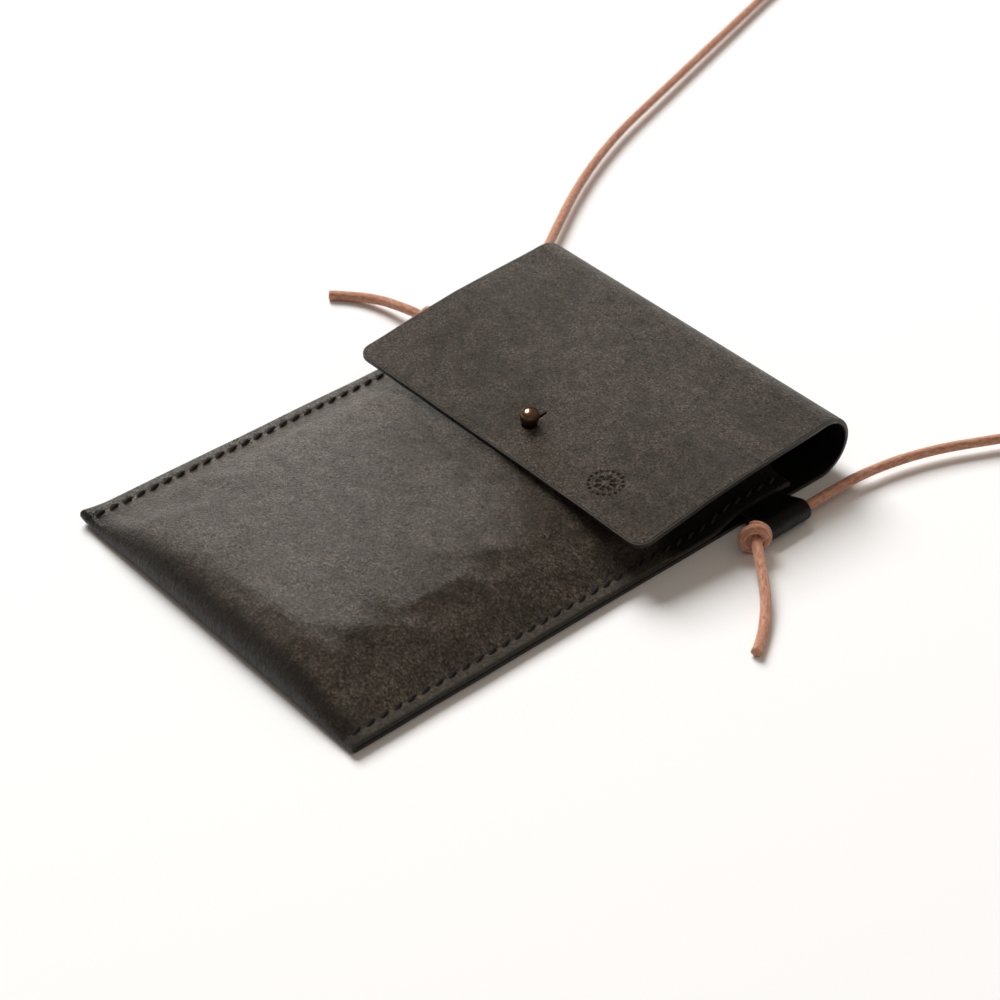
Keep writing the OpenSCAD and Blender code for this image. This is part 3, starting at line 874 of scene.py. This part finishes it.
def hole_distance(x, u):
    """Distance outwards from the buttonhole's edge; negative inside it."""
    round_part = np.hypot(x - STUD_X, u - HOLE_U) - HOLE_R
    v = np.clip(HOLE_U - u, 0, SLIT_L)
    slit = np.hypot(x - STUD_X, (HOLE_U - u) - v) - SLIT_HALF
    return np.minimum(round_part, slit)


def border_distance(x, u):
    """Distance inwards from the flap's free sides and front edge, with rounded corners."""
    dx = np.abs(x) - (HALF_W - FLAP_R)
    du = u - (FLAP_L - FLAP_R)
    corner = FLAP_R - np.hypot(np.maximum(dx, 0), np.maximum(du, 0))
    straight = FLAP_R - np.maximum(dx, du)
    return np.where((dx > 0) & (du > 0), corner, straight)


def flap_border(inset):
    """Free outline of the flap, inset, from the roll down the left side and back up the right."""
    w, r = HALF_W - inset, FLAP_R - inset
    cx, cu = HALF_W - FLAP_R, FLAP_L - FLAP_R
    sides = np.linspace(0, cu, 56)
    front = np.linspace(-cx, cx, 84)
    arcs = np.radians(np.linspace(0, 90, 12)[1:-1])
    out = [(-w, u) for u in sides]
    out += [(-cx - r * math.cos(a), cu + r * math.sin(a)) for a in arcs]
    out += [(v, FLAP_L - inset) for v in front]
    out += [(cx + r * math.sin(a), cu + r * math.cos(a)) for a in arcs]
    out += [(w, u) for u in sides[::-1]]
    return out


STAMP_X, STAMP_U = 31.0, HOLE_U + 2.0
STAMP_DEPTH, STAMP_R = 0.20, 6.0
BEADS, BEAD_RING = 18, 4.3


def stamp_depth(x, u):
    """A plain tooled rosette: eight petals inside a ring of small dots."""
    dx, du = x - STAMP_X, u - STAMP_U
    r, a = np.hypot(dx, du), np.arctan2(du, dx)
    petal = (np.abs(((a / (math.pi / 4)) % 1) - 0.5) * 2) ** 1.4
    petals = smooth((0.62 - petal) / 0.25) * smooth((r - 0.9) / 0.3) * smooth((3.0 - r) / 0.35)
    k = (a / (2 * math.pi) * BEADS) % 1 - 0.5
    bead = np.hypot(k * 2 * math.pi * BEAD_RING / BEADS, r - BEAD_RING)
    dots = smooth((0.55 - bead) / 0.22)
    return STAMP_DEPTH * np.maximum(petals, dots)


def build_flap():
    points, edges = [], []

    def chain(loop, close):
        first = len(points)
        points.extend(loop)
        edges.extend((first + i, first + i + 1) for i in range(len(loop) - 1))
        if close:
            edges.append((len(points) - 1, first))

    insets = edge_steps(EDGE_R)
    for inset in insets + [0.9, 1.5]:
        chain(flap_border(inset), False)
    for grow in insets + [0.9]:
        chain(keyhole(grow), True)
    chain([(v, 0.0) for v in COLUMNS[1:-1]], False)
    for x in np.arange(-HALF_W + 2.2, HALF_W - 2.1, 1.1):
        for u in np.arange(0.8, FLAP_L - 2.1, 1.1):
            near_stamp = math.hypot(x - STAMP_X, u - STAMP_U) < STAMP_R + 0.2
            if hole_distance(x, u) > 1.3 and not near_stamp:
                points.append((x, u))
    fine = np.arange(-STAMP_R, STAMP_R + 0.01, 0.21)
    for dx in fine:
        for du in fine:
            if math.hypot(dx, du) < STAMP_R - 0.1:
                points.append((STAMP_X + dx, STAMP_U + du))
    found = delaunay_2d_cdt([Vector(p) for p in points], edges, [], 0, 1e-5)
    flat = np.array([tuple(v) for v in found[0]])
    tris = []
    for f in found[2]:
        mid = flat[list(f)].mean(axis=0)
        inside = border_distance(mid[0], mid[1]) > 0 and 0 < mid[1]
        if inside and hole_distance(mid[0], mid[1]) > 0:
            area = np.cross(flat[f[1]] - flat[f[0]], flat[f[2]] - flat[f[0]])
            tris.append(tuple(f) if area < 0 else tuple(f[::-1]))
    used = sorted({i for f in tris for i in f})
    index = {v: i for i, v in enumerate(used)}
    flat = flat[used]
    tris = [tuple(index[i] for i in f) for f in tris]
    x, u = flat[:, 0], flat[:, 1]
    rim = np.minimum(border_distance(x, u), hole_distance(x, u)).clip(0)
    depth_out = rounding(rim, EDGE_R) + stamp_depth(x, u)
    depth_in = SHEET - rounding(rim, FLESH_R)
    n = len(flat)
    verts = np.concatenate((flap_place(x, u, depth_out), flap_place(x, u, depth_in)))
    faces = list(tris) + [tuple(i + n for i in f[::-1]) for f in tris]
    sides = dict.fromkeys((a, b) for f in tris for a, b in zip(f, f[1:] + f[:1]))
    faces += [(b, a, a + n, b + n) for a, b in sides if (b, a) not in sides]
    run = FOLD_Y + ROLL_R * FLAP_TURN + u
    sheet = np.concatenate([np.column_stack((x, run, d)) for d in (depth_out, depth_in)])
    obj = make_mesh("flap", verts, faces, sheet, np.concatenate((rim, rim)))
    dress(obj, POUCH_LEATHER, "flap_panel", ["flap_panel"])
    return obj


# ---------------------------------------- stitching

def build_stitching(side):
    """Slanted saddle stitches on both faces of one seam, as one thread piece."""
    name = "left_side_stitching" if side < 0 else "right_side_stitching"
    verts, faces, sheet = [], [], []
    count = int(round((LAST_HOLE - FIRST_HOLE) / PITCH))
    xs = side * STITCH_X
    base = 0
    for front in (True, False):
        for i in range(count):
            y0 = FIRST_HOLE + i * PITCH
            jitter = 0.06 * math.sin(i * 2.3 + side)
            lean = (0.62 + jitter) * (-1 if front else 1)
            t = np.linspace(0, 1, 11)
            y = y0 + PITCH * (0.13 + 0.74 * t)
            x = xs + lean * (2 * t - 1)
            arch = np.sin(math.pi * t) ** 0.7
            if front:
                top = np.array([front_height(np.array(xs), np.array(v)) for v in y])
                top = top + curl(np.full_like(y, xs), y)
                z = top - 0.52 + 0.60 * arch
            else:
                z = 0.98 - 0.58 * arch
            line = np.column_stack((x, y, z))
            radii = THREAD_R * (0.86 + 0.14 * arch)
            v, f = tube(line, radii, 10)
            verts.append(v)
            faces += [tuple(k + base for k in face) for face in f]
            ring = np.tile(np.arange(10) / 10 * 2 * math.pi, 11)
            sheet.append(np.column_stack((ring, np.repeat(y, 10), np.full(110, float(i)))))
            base += len(v)
    obj = make_mesh(name + "_thread", np.concatenate(verts), faces, np.concatenate(sheet))
    dress(obj, THREAD, "pouch", [name])


# ---------------------------------------- cord loops

LOOP_STEP, LOOP_EDGE_R = 0.35, 0.35


def build_loop(side):
    """Leather strip folded round the cord, its two tails sewn into the seam."""
    name = "left_cord_loop" if side < 0 else "right_cord_loop"
    cx = (LOOP_HI[0] - (LOOP_HI[2] - LOOP_LO[2]) / 2)
    cz = (LOOP_HI[2] + LOOP_LO[2]) / 2
    ring = (LOOP_HI[2] - LOOP_LO[2]) / 2 - STRIP_T / 2
    mid_z = LEATHER + STRIP_T
    tail_x = LOOP_LO[0] + 0.2
    pinch = HALF_W + 1.6
    upper, lower = ([(tail_x, mid_z + up * STRIP_T / 2), (HALF_W - 2, mid_z + up * STRIP_T / 2),
                     (pinch, mid_z + up * (STRIP_T / 2 + 0.05))] for up in (1, -1))
    arc = [(cx + ring * math.cos(a), cz + ring * math.sin(a))
           for a in np.radians(np.arange(112, -113, -16))]
    flat = np.array(upper + arc + lower[::-1])
    line = smooth_line(np.column_stack((flat[:, 0], np.zeros(len(flat)), flat[:, 1])), LOOP_STEP)
    xz = line[:, [0, 2]]
    tangent = np.gradient(xz, axis=0)
    tangent /= np.linalg.norm(tangent, axis=1, keepdims=True)
    out = np.column_stack((-tangent[:, 1], tangent[:, 0]))
    length = LOOP_HI[1] - LOOP_LO[1]
    es = edge_steps(LOOP_EDGE_R)
    ends = es + list(np.linspace(1.0, length - 1.0, 16)) + [length - e for e in es[::-1]]
    rows, normals = [], []
    for e in ends:
        y = LOOP_LO[1] + e
        p = xz + out * STRIP_T / 2
        rows.append(np.column_stack((side * p[:, 0], np.full(len(p), y), p[:, 1])))
        normals.append(np.column_stack((side * out[:, 0], np.zeros(len(p)), out[:, 1])))
    grid, normals = np.array(rows), np.array(normals)
    rim_line = np.array([min(e, length - e) for e in ends])
    rim = np.repeat(rim_line[:, None], grid.shape[1], axis=1)
    depth_out = rounding(rim, LOOP_EDGE_R)
    depth_in = STRIP_T - rounding(rim, 0.25)
    along = np.repeat(np.arange(len(xz))[None] * LOOP_STEP, len(ends), axis=0)
    coords = np.dstack((np.repeat(np.array(ends)[:, None], len(xz), axis=1) + 300 * side, along))
    if side > 0:
        grid, normals = grid[::-1], normals[::-1]
        depth_out, depth_in, coords, rim = depth_out[::-1], depth_in[::-1], coords[::-1], rim[::-1]
    obj = sheet_object(name + "_strip", grid, normals, depth_out, depth_in, coords, rim)
    dress(obj, LOOP_LEATHER, "pouch", [name])


# ---------------------------------------- stud

AXIS_R = 0.001           # radius of a turned solid's end points, on its axis


def build_stud():
    base_z = STUD_LO[2]
    ball_z = STUD_HI[2] - BALL_R
    base_r, neck_r = (STUD_HI[0] - STUD_LO[0]) / 2, 1.6
    low = -math.sqrt(1 - (neck_r / BALL_R) ** 2)
    profile = [(AXIS_R, base_z)]
    profile += [(base_r - inset, base_z + up)
                for inset, up in ((0.25, 0.0), (0.06, 0.08), (0.0, 0.28), (0.02, 0.62), (0.15, 0.84),
                                  (0.5, 0.96))]
    profile += [(neck_r + out, base_z + up) for out, up in ((0.55, 1.02), (0.15, 1.22), (0.0, 1.6))]
    start = math.asin(low)
    profile += [(neck_r, ball_z + BALL_R * low - 0.25)]
    for a in np.linspace(start + 0.10, math.pi / 2 - 0.02, 40):
        profile.append((BALL_R * math.cos(a), ball_z + BALL_R * math.sin(a)))
    obj = lathe("stud_ball", profile, (STUD_X, STUD_Y), 96)
    dress(obj, METAL, "pouch", ["stud_head"])
    return obj


def build_screw():
    """Slotted screw head inside the pocket, cut from a turned blank."""
    lo, hi = SCREW_LO[2], SCREW_HI[2]
    head_r = (SCREW_HI[0] - SCREW_LO[0]) / 2
    profile = [(AXIS_R, lo)]
    profile += [(head_r - inset, lo + up)
                for inset, up in ((0.5, 0.0), (0.15, 0.1), (0.0, 0.4), (0.0, 0.85), (0.15, 1.0))]
    profile += [(1.05, lo + 1.0), (1.0, lo + 1.1), (1.0, hi - 0.2), (0.85, hi), (AXIS_R, hi)]
    obj = lathe("stud_screw_turned", profile, (STUD_X, STUD_Y), 64)
    bpy.ops.mesh.primitive_cube_add(size=1, location=frame_point(STUD_X, STUD_Y, lo))
    cutter = bpy.context.object
    cutter.scale = (0.009, 0.0008, 0.001)
    bpy.context.view_layer.update()
    cut = obj.modifiers.new("slot", "BOOLEAN")
    cut.operation, cut.object, cut.solver = "DIFFERENCE", cutter, "EXACT"
    apply_modifiers(obj)
    bpy.data.objects.remove(cutter)
    dress(obj, METAL, "pouch", ["stud_screw"])


def apply_modifiers(obj):
    """Replaces the object's mesh by its evaluated one."""
    bpy.context.view_layer.update()
    graph = bpy.context.evaluated_depsgraph_get()
    mesh = bpy.data.meshes.new_from_object(obj.evaluated_get(graph))
    obj.modifiers.clear()
    obj.data = mesh


# ---------------------------------------- lace

CORD_X, CORD_Z = 60.5, JOINT["strap_lift"][2]
STRAP_Y = JOINT["strap_lift"][1]
MIDDLE_Y = JOINT["strap_middle_bend"][1]
NECK_Y = JOINT["neck_bend"][1]
SINK = (JOINT["strap_lift"][2] - JOINT["neck_bend"][2]) / (NECK_Y - STRAP_Y)
LEFT_STEPS = ((1, 0), (24, -33), (21, 0), (61, 14))    # (length, turn in degrees) from the loop
RIGHT_STEPS = ((5, 0), (40, 26))
LEFT_FAR = 90.0
HEADING = {"left": -98.0, "right": 128.0}              # tails, from +Y towards +X
TAIL_TURN = {"left": -42.0, "right": 24.0}
TAIL_L = {"left": 27.0, "right": 33.0}
RING_R = {"left": 2.5, "right": 3.1}
KNOT_IN = {"left": 1.3, "right": 0.0}                  # the left knot lies closer to the pouch


def walk(x, y, heading, steps, spacing=0.5):
    """Points along straight and curved steps, with headings from +Y towards +X."""
    out = [(x, y)]
    h = math.radians(heading)
    for length, turn in steps:
        count = max(1, int(math.ceil(length / spacing)))
        for _ in range(count):
            h += math.radians(turn) / count / 2
            x += math.sin(h) * length / count
            y += math.cos(h) * length / count
            h += math.radians(turn) / count / 2
            out.append((x, y))
    return out, math.degrees(h)


def strap_line():
    """Middle of the lace from the left strap hinge round the neck to the right one."""
    left, turn = walk(-CORD_X, STRAP_Y, 0, LEFT_STEPS + ((LEFT_FAR, 0),))
    right, right_turn = walk(CORD_X, STRAP_Y, 0, RIGHT_STEPS)
    top = left[-1]
    # half circle round the neck, with the right side brought down to meet the right strand
    a, b = math.radians(turn), math.radians(right_turn)
    rx, ry = right[-1]
    radius = ((rx - top[0] + math.tan(b) * (top[1] - ry))
              / (math.cos(b) + math.cos(a) + math.tan(b) * (math.sin(b) + math.sin(a))))
    sweep = 180.0 - turn + right_turn
    arc, _ = walk(*top, turn, ((radius * math.radians(sweep), sweep),))
    flat = left + arc[1:]
    start = np.array(flat[-1])
    gap = np.array(right[-1]) - start
    steps = np.linspace(0, 1, int(np.linalg.norm(gap) / 0.5))[1:-1]
    flat += [tuple(start + gap * t) for t in steps] + right[::-1]
    p = np.array(flat)
    z = CORD_Z - (p[:, 1] - STRAP_Y) * SINK
    return np.column_stack((p, z))


def knot_line(side):
    """Middle of the lace from a strap hinge, through the loop and the knot, to the tail's end."""
    s = -1.0 if side == "left" else 1.0
    h = math.radians(HEADING[side])
    axis = np.array((math.sin(h), math.cos(h), 0.12))
    axis /= np.linalg.norm(axis)
    e1 = np.cross((0, 0, 1.0), axis)
    e1 /= np.linalg.norm(e1)
    e2 = np.cross(axis, e1)
    ring_r = RING_R[side]
    centre = KNOT[side] + np.array((KNOT_IN[side], 0, 0))
    centre[2] = ring_r + LACE_R + 0.05
    run = [(s * CORD_X, y, CORD_Z) for y in (STRAP_Y, 140.0, 134.0, 128.0, 124.0)]
    turn_way = -s
    first = math.radians(100)
    coil = []
    for t in np.linspace(0, 1, 19):
        ang = first + turn_way * t * math.radians(425)
        lean = -1.15 + 1.75 * t
        r = ring_r * (0.93 + 0.07 * math.sin(t * math.pi))
        coil.append(centre + r * (math.cos(ang) * e1 + math.sin(ang) * e2) + axis * lean)
    entry = [centre - axis * 2.3 + e2 * 0.6 + np.array((0, 1.2, 0))]
    last = first + turn_way * math.radians(425)
    inner = [last + turn_way * a for a in np.linspace(0.8, 5.0, 9)]
    tuck = [centre + 1.45 * (math.cos(a) * e1 + math.sin(a) * e2) - axis * 0.7 for a in inner]
    tuck += [centre - axis * 0.2, centre + axis * 2.0]
    head = smooth_line(run + entry + coil + tuck, 0.42)
    hinge = JOINT[side + "_tail_swing"]
    flat, _ = walk(centre[0] + axis[0] * 2.2, centre[1] + axis[1] * 2.2, HEADING[side],
                   ((0.3 * TAIL_L[side] + 2.8, 0), (0.7 * TAIL_L[side], TAIL_TURN[side])), 0.45)
    p = np.array(flat)
    t = np.linspace(0, 1, len(p))
    z = centre[2] + 0.25 - (centre[2] + 0.25 - LACE_R - 0.05) * smooth(t * 1.12)
    tail = np.column_stack((p, z))
    joined = np.vstack((head[:-1], tail))
    return spaced(smooth_pass(joined, 3), 0.42), hinge


def smooth_pass(points, times):
    p = points.copy()
    for _ in range(times):
        p[1:-1] = (p[:-2] + 2 * p[1:-1] + p[2:]) / 4
    return p


def lace_piece(name, points, frames, arc, first, last, node_names, tip_start=False, tip_end=False):
    """One length of the lace, between two point numbers of the whole line."""
    part = slice(first, last + 1)
    pts, frm, run = points[part], frames[part], arc[part]
    radii = LACE_R * (1 + 0.035 * np.array([noise.noise(Vector((s / 7.0, 0, 4.0))) for s in run])
                      + 0.02 * np.array([noise.noise(Vector((s / 1.9, 3.0, 0))) for s in run]))
    if tip_start:
        radii[:2] *= (0.90, 0.98)
    if tip_end:
        radii[-3:] *= (1.03, 1.08, 1.02)
    sides = 20
    spin = 0.25 * np.sin(run / 55.0)
    turned = []
    for (u, v), t in zip(frm, spin):
        turned.append((u * math.cos(t) + v * math.sin(t), v * math.cos(t) - u * math.sin(t)))
    verts, faces = tube(pts, radii, sides, 2.7, turned)
    ring = np.arange(sides) / sides * 2 * math.pi
    sheet = np.column_stack((np.tile(LACE_R * np.cos(ring), len(pts)), np.repeat(run, sides),
                             np.tile(LACE_R * np.sin(ring), len(pts))))
    obj = make_mesh(name, verts, faces, sheet, sharp=60)
    dress(obj, LACE)
    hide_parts(*node_names)
    return obj


def build_lace():
    """The whole lace as one line, cut into lengths; each side's knot and cord run ride with the cord
    ends.
    """
    strap = strap_line()
    left, left_hinge = knot_line("left")
    right, right_hinge = knot_line("right")
    strap = spaced(strap, 0.75)
    points = np.vstack((left[::-1][:-1], strap, right[1:]))
    starts = (len(left) - 1, len(left) - 1 + len(strap) - 1)
    frames = carried_frames(points)
    arc = np.concatenate(((0,), np.cumsum(np.linalg.norm(np.diff(points, axis=0), axis=1))))
    run_end = LOOP_HI[1] + 1.0
    bend_to = 2 * STRAP_Y - run_end
    low_cut = MIDDLE_Y - 50
    mid_cut = NECK_Y - 50

    def crossing(lo, hi, y):
        span = np.arange(lo, hi)
        return int(span[np.argmin(np.abs(points[lo:hi, 1] - y))])

    half = len(points) // 2
    for side, reverse in (("left", False), ("right", True)):
        if reverse:
            hinge_at, a, b = starts[1], half, len(points) - 1
        else:
            hinge_at, a, b = starts[0], half, 0
        strand = (a, hinge_at) if reverse else (hinge_at, a)
        cut_mid = crossing(*sorted(strand), mid_cut)
        cut_low = crossing(*sorted(strand), low_cut)
        near = (hinge_at - 40, hinge_at + 40)
        cut_run = crossing(*near, run_end)
        hinge = right_hinge if reverse else left_hinge
        h = math.radians(HEADING[side])
        way = np.array((math.sin(h), math.cos(h), 0))
        root = hinge - way * 3.4
        tail_span = (hinge_at + 40, b) if reverse else (b, hinge_at - 40)
        span = np.arange(*sorted(tail_span))
        far = (points[span] - root) @ way
        tail_side = span[far > 0]
        cut_tail = int(tail_side.min() if reverse else tail_side.max())
        knot_end = KNOT[side][1] + 5.6
        near_knot = np.arange(*sorted((cut_run, cut_tail)))
        off_run = np.abs(np.abs(points[near_knot, 0]) - CORD_X) > 0.6
        cut_knot = int(near_knot[np.argmin(np.abs(points[near_knot, 1] - knot_end) + 10 * off_run)])
        pieces = (("tail", b, cut_tail), ("knot", cut_tail, cut_knot),
                  ("cord_run", cut_knot, cut_run), ("lower_strap", cut_run, cut_low),
                  ("middle_strap", cut_low, cut_mid))
        made = {}
        for kind, i, j in pieces:
            i, j = sorted((i, j))
            made[kind] = lace_piece(f"{side}_{kind}_lace", points, frames, arc, i, j,
                                    [f"{side}_{kind}"], tip_start=kind == "tail" and not reverse,
                                    tip_end=kind == "tail" and reverse)
        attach(made["knot"], "cord_ends")
        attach(made["cord_run"], "cord_ends")
        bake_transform(made["tail"], "cord_ends", f"{side}_tail",
                 start=tuple(to_frame(hinge - way * 3.4)), end=tuple(to_frame(hinge + way * 4.5)))
        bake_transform(made["lower_strap"], "cord_ends", "strap_lower",
                 start=frame_point(0, run_end, CORD_Z), end=frame_point(0, bend_to, CORD_Z))
        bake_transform(made["middle_strap"], "strap_lower", "strap_middle",
                 start=frame_point(0, low_cut, 0), end=frame_point(0, 2 * MIDDLE_Y - low_cut, 0))
        if reverse:
            right_mid = cut_mid
        else:
            left_mid = cut_mid
    neck = lace_piece("neck_strap_lace", points, frames, arc, left_mid, right_mid, ["neck_strap"])
    frame_point(0, mid_cut, 0)
    frame_point(0, 2 * NECK_Y - mid_cut, 0)
    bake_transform(neck)


# ---------------------------------------- build

FRONT = build_pouch(settle_front())
ROLL = build_roll()
FLAP = build_flap()
for side in (-1, 1):
    build_stitching(side)
    build_loop(side)
STUD = build_stud()
build_screw()
build_lace()


# ---------------------------------------- table, light and camera

FILL_COLOUR = (1.0, 0.88, 0.76, 1)
BACKDROP = (0.93, 0.925, 0.91, 1)
GLINT_PLACE = (-0.95, -0.45, 1.9)
BRIGHT_SIDE = Vector((0.55, 0.25, 0.80)).normalized()


TABLE = 6.0              # half the table's side, in metres


def build_stage():
    mesh = bpy.data.meshes.new("table")
    corners = ((-1, -1), (1, -1), (1, 1), (-1, 1))
    mesh.from_pydata([(TABLE * x, TABLE * y, 0) for x, y in corners], [], [(0, 1, 2, 3)])
    table = bpy.data.objects.new("table", mesh)
    table.location.z = -0.00005
    table.data.materials.append(floor_material())
    bpy.context.scene.collection.objects.link(table)


def area_light(name, place, size, power, colour, diffuse=True, glossy=True):
    data = bpy.data.lights.new(name, "AREA")
    data.shape = "RECTANGLE"
    data.size, data.size_y = size
    data.energy, data.color = power, colour
    lamp = bpy.data.objects.new(name, data)
    lamp.location = place
    lamp.rotation_euler = (-Vector(place)).to_track_quat("-Z", "Y").to_euler()
    lamp.visible_diffuse = diffuse
    lamp.visible_glossy = glossy
    bpy.context.scene.collection.objects.link(lamp)
    return lamp


def light_only(lamp, name, lit):
    """Lets a lamp light the given objects and nothing else."""
    group = bpy.data.collections.new(name)
    for obj in lit:
        group.objects.link(obj)
    lamp.light_linking.receiver_collection = group


def around(azimuth, height, distance):
    """A place at a compass angle from -X towards +Y and a height, both in degrees."""
    a, h = math.radians(azimuth), math.radians(height)
    flat = distance * math.cos(h)
    return (-flat * math.cos(a), flat * math.sin(a), distance * math.sin(h))


def build_world():
    """A fill that is brighter on one side, weaker in reflections and pale to the camera."""
    world = bpy.data.worlds.new("studio")
    bpy.context.scene.world = world
    n = Nodes(world)
    toward = n.vector("DOT_PRODUCT", "Value", n.get("ShaderNodeTexCoord", "Generated"), BRIGHT_SIDE)
    level = n.band(toward, -0.35, 0.95, 0.08, 0.36)
    level = level * (1.0 - n.get("ShaderNodeLightPath", "Is Glossy Ray") * 0.7)
    fill = n.get("ShaderNodeBackground", 0, {0: FILL_COLOUR, 1: level})
    seen = n.get("ShaderNodeBackground", 0, {0: BACKDROP})
    camera_ray = n.get("ShaderNodeLightPath", "Is Camera Ray")
    shown = n.get("ShaderNodeMixShader", 0, {0: camera_ray, 1: fill, 2: seen})
    n.close("ShaderNodeOutputWorld", shown)


def build_lamps():
    """A window at the pouch's foot, and lamps that each gloss one material."""
    area_light("window", around(18, 41, 4.0), (2.3, 2.1), 240.0, (0.985, 0.99, 1.0), glossy=False)
    for lit, power in (((FRONT,), 25.0), ((FLAP, *ROLL), 11.0)):
        sheen = area_light("sheen", around(31.5, 5.5, 2.5), (2.4, 0.45), power, (1.0, 0.96, 0.91),
                           diffuse=False)
        light_only(sheen, "waxed", lit)
    glint = area_light("glint", GLINT_PLACE, (1.1, 0.9), 55.0, (1.0, 0.98, 0.95), diffuse=False)
    light_only(glint, "polished", (STUD,))


# Camera: placed round the pouch by compass angle, height and distance to a point on the table
VIEW_AZIMUTH, VIEW_HEIGHT, VIEW_ROLL = 47.949, 38.818, -0.988
VIEW_DISTANCE = 0.6018
VIEW_TARGET = Vector((0.00685, 0.00423, 0.0))


def build_camera():
    data = bpy.data.cameras.new("camera")
    data.lens, data.sensor_width = 87.08, 36.0
    camera = bpy.data.objects.new("camera", data)
    turn = (Matrix.Rotation(math.radians(VIEW_AZIMUTH), 3, "Z")
            @ Matrix.Rotation(math.radians(90 - VIEW_HEIGHT), 3, "X")
            @ Matrix.Rotation(math.radians(-VIEW_ROLL), 3, "Z"))
    camera.rotation_euler = turn.to_euler()
    camera.location = VIEW_TARGET + turn @ Vector((0, 0, VIEW_DISTANCE))
    bpy.context.scene.collection.objects.link(camera)
    bpy.context.scene.camera = camera
    focus = bpy.data.objects.new("focus", None)
    focus.location = frame_point(STUD_X, STUD_Y, STUD_HI[2])
    bpy.context.scene.collection.objects.link(focus)
    data.dof.use_dof = True
    data.dof.focus_object = focus
    data.dof.aperture_fstop = 26.0
    bpy.context.scene.view_settings.view_transform = "Standard"


build_stage()
build_world()
build_lamps()
build_camera()
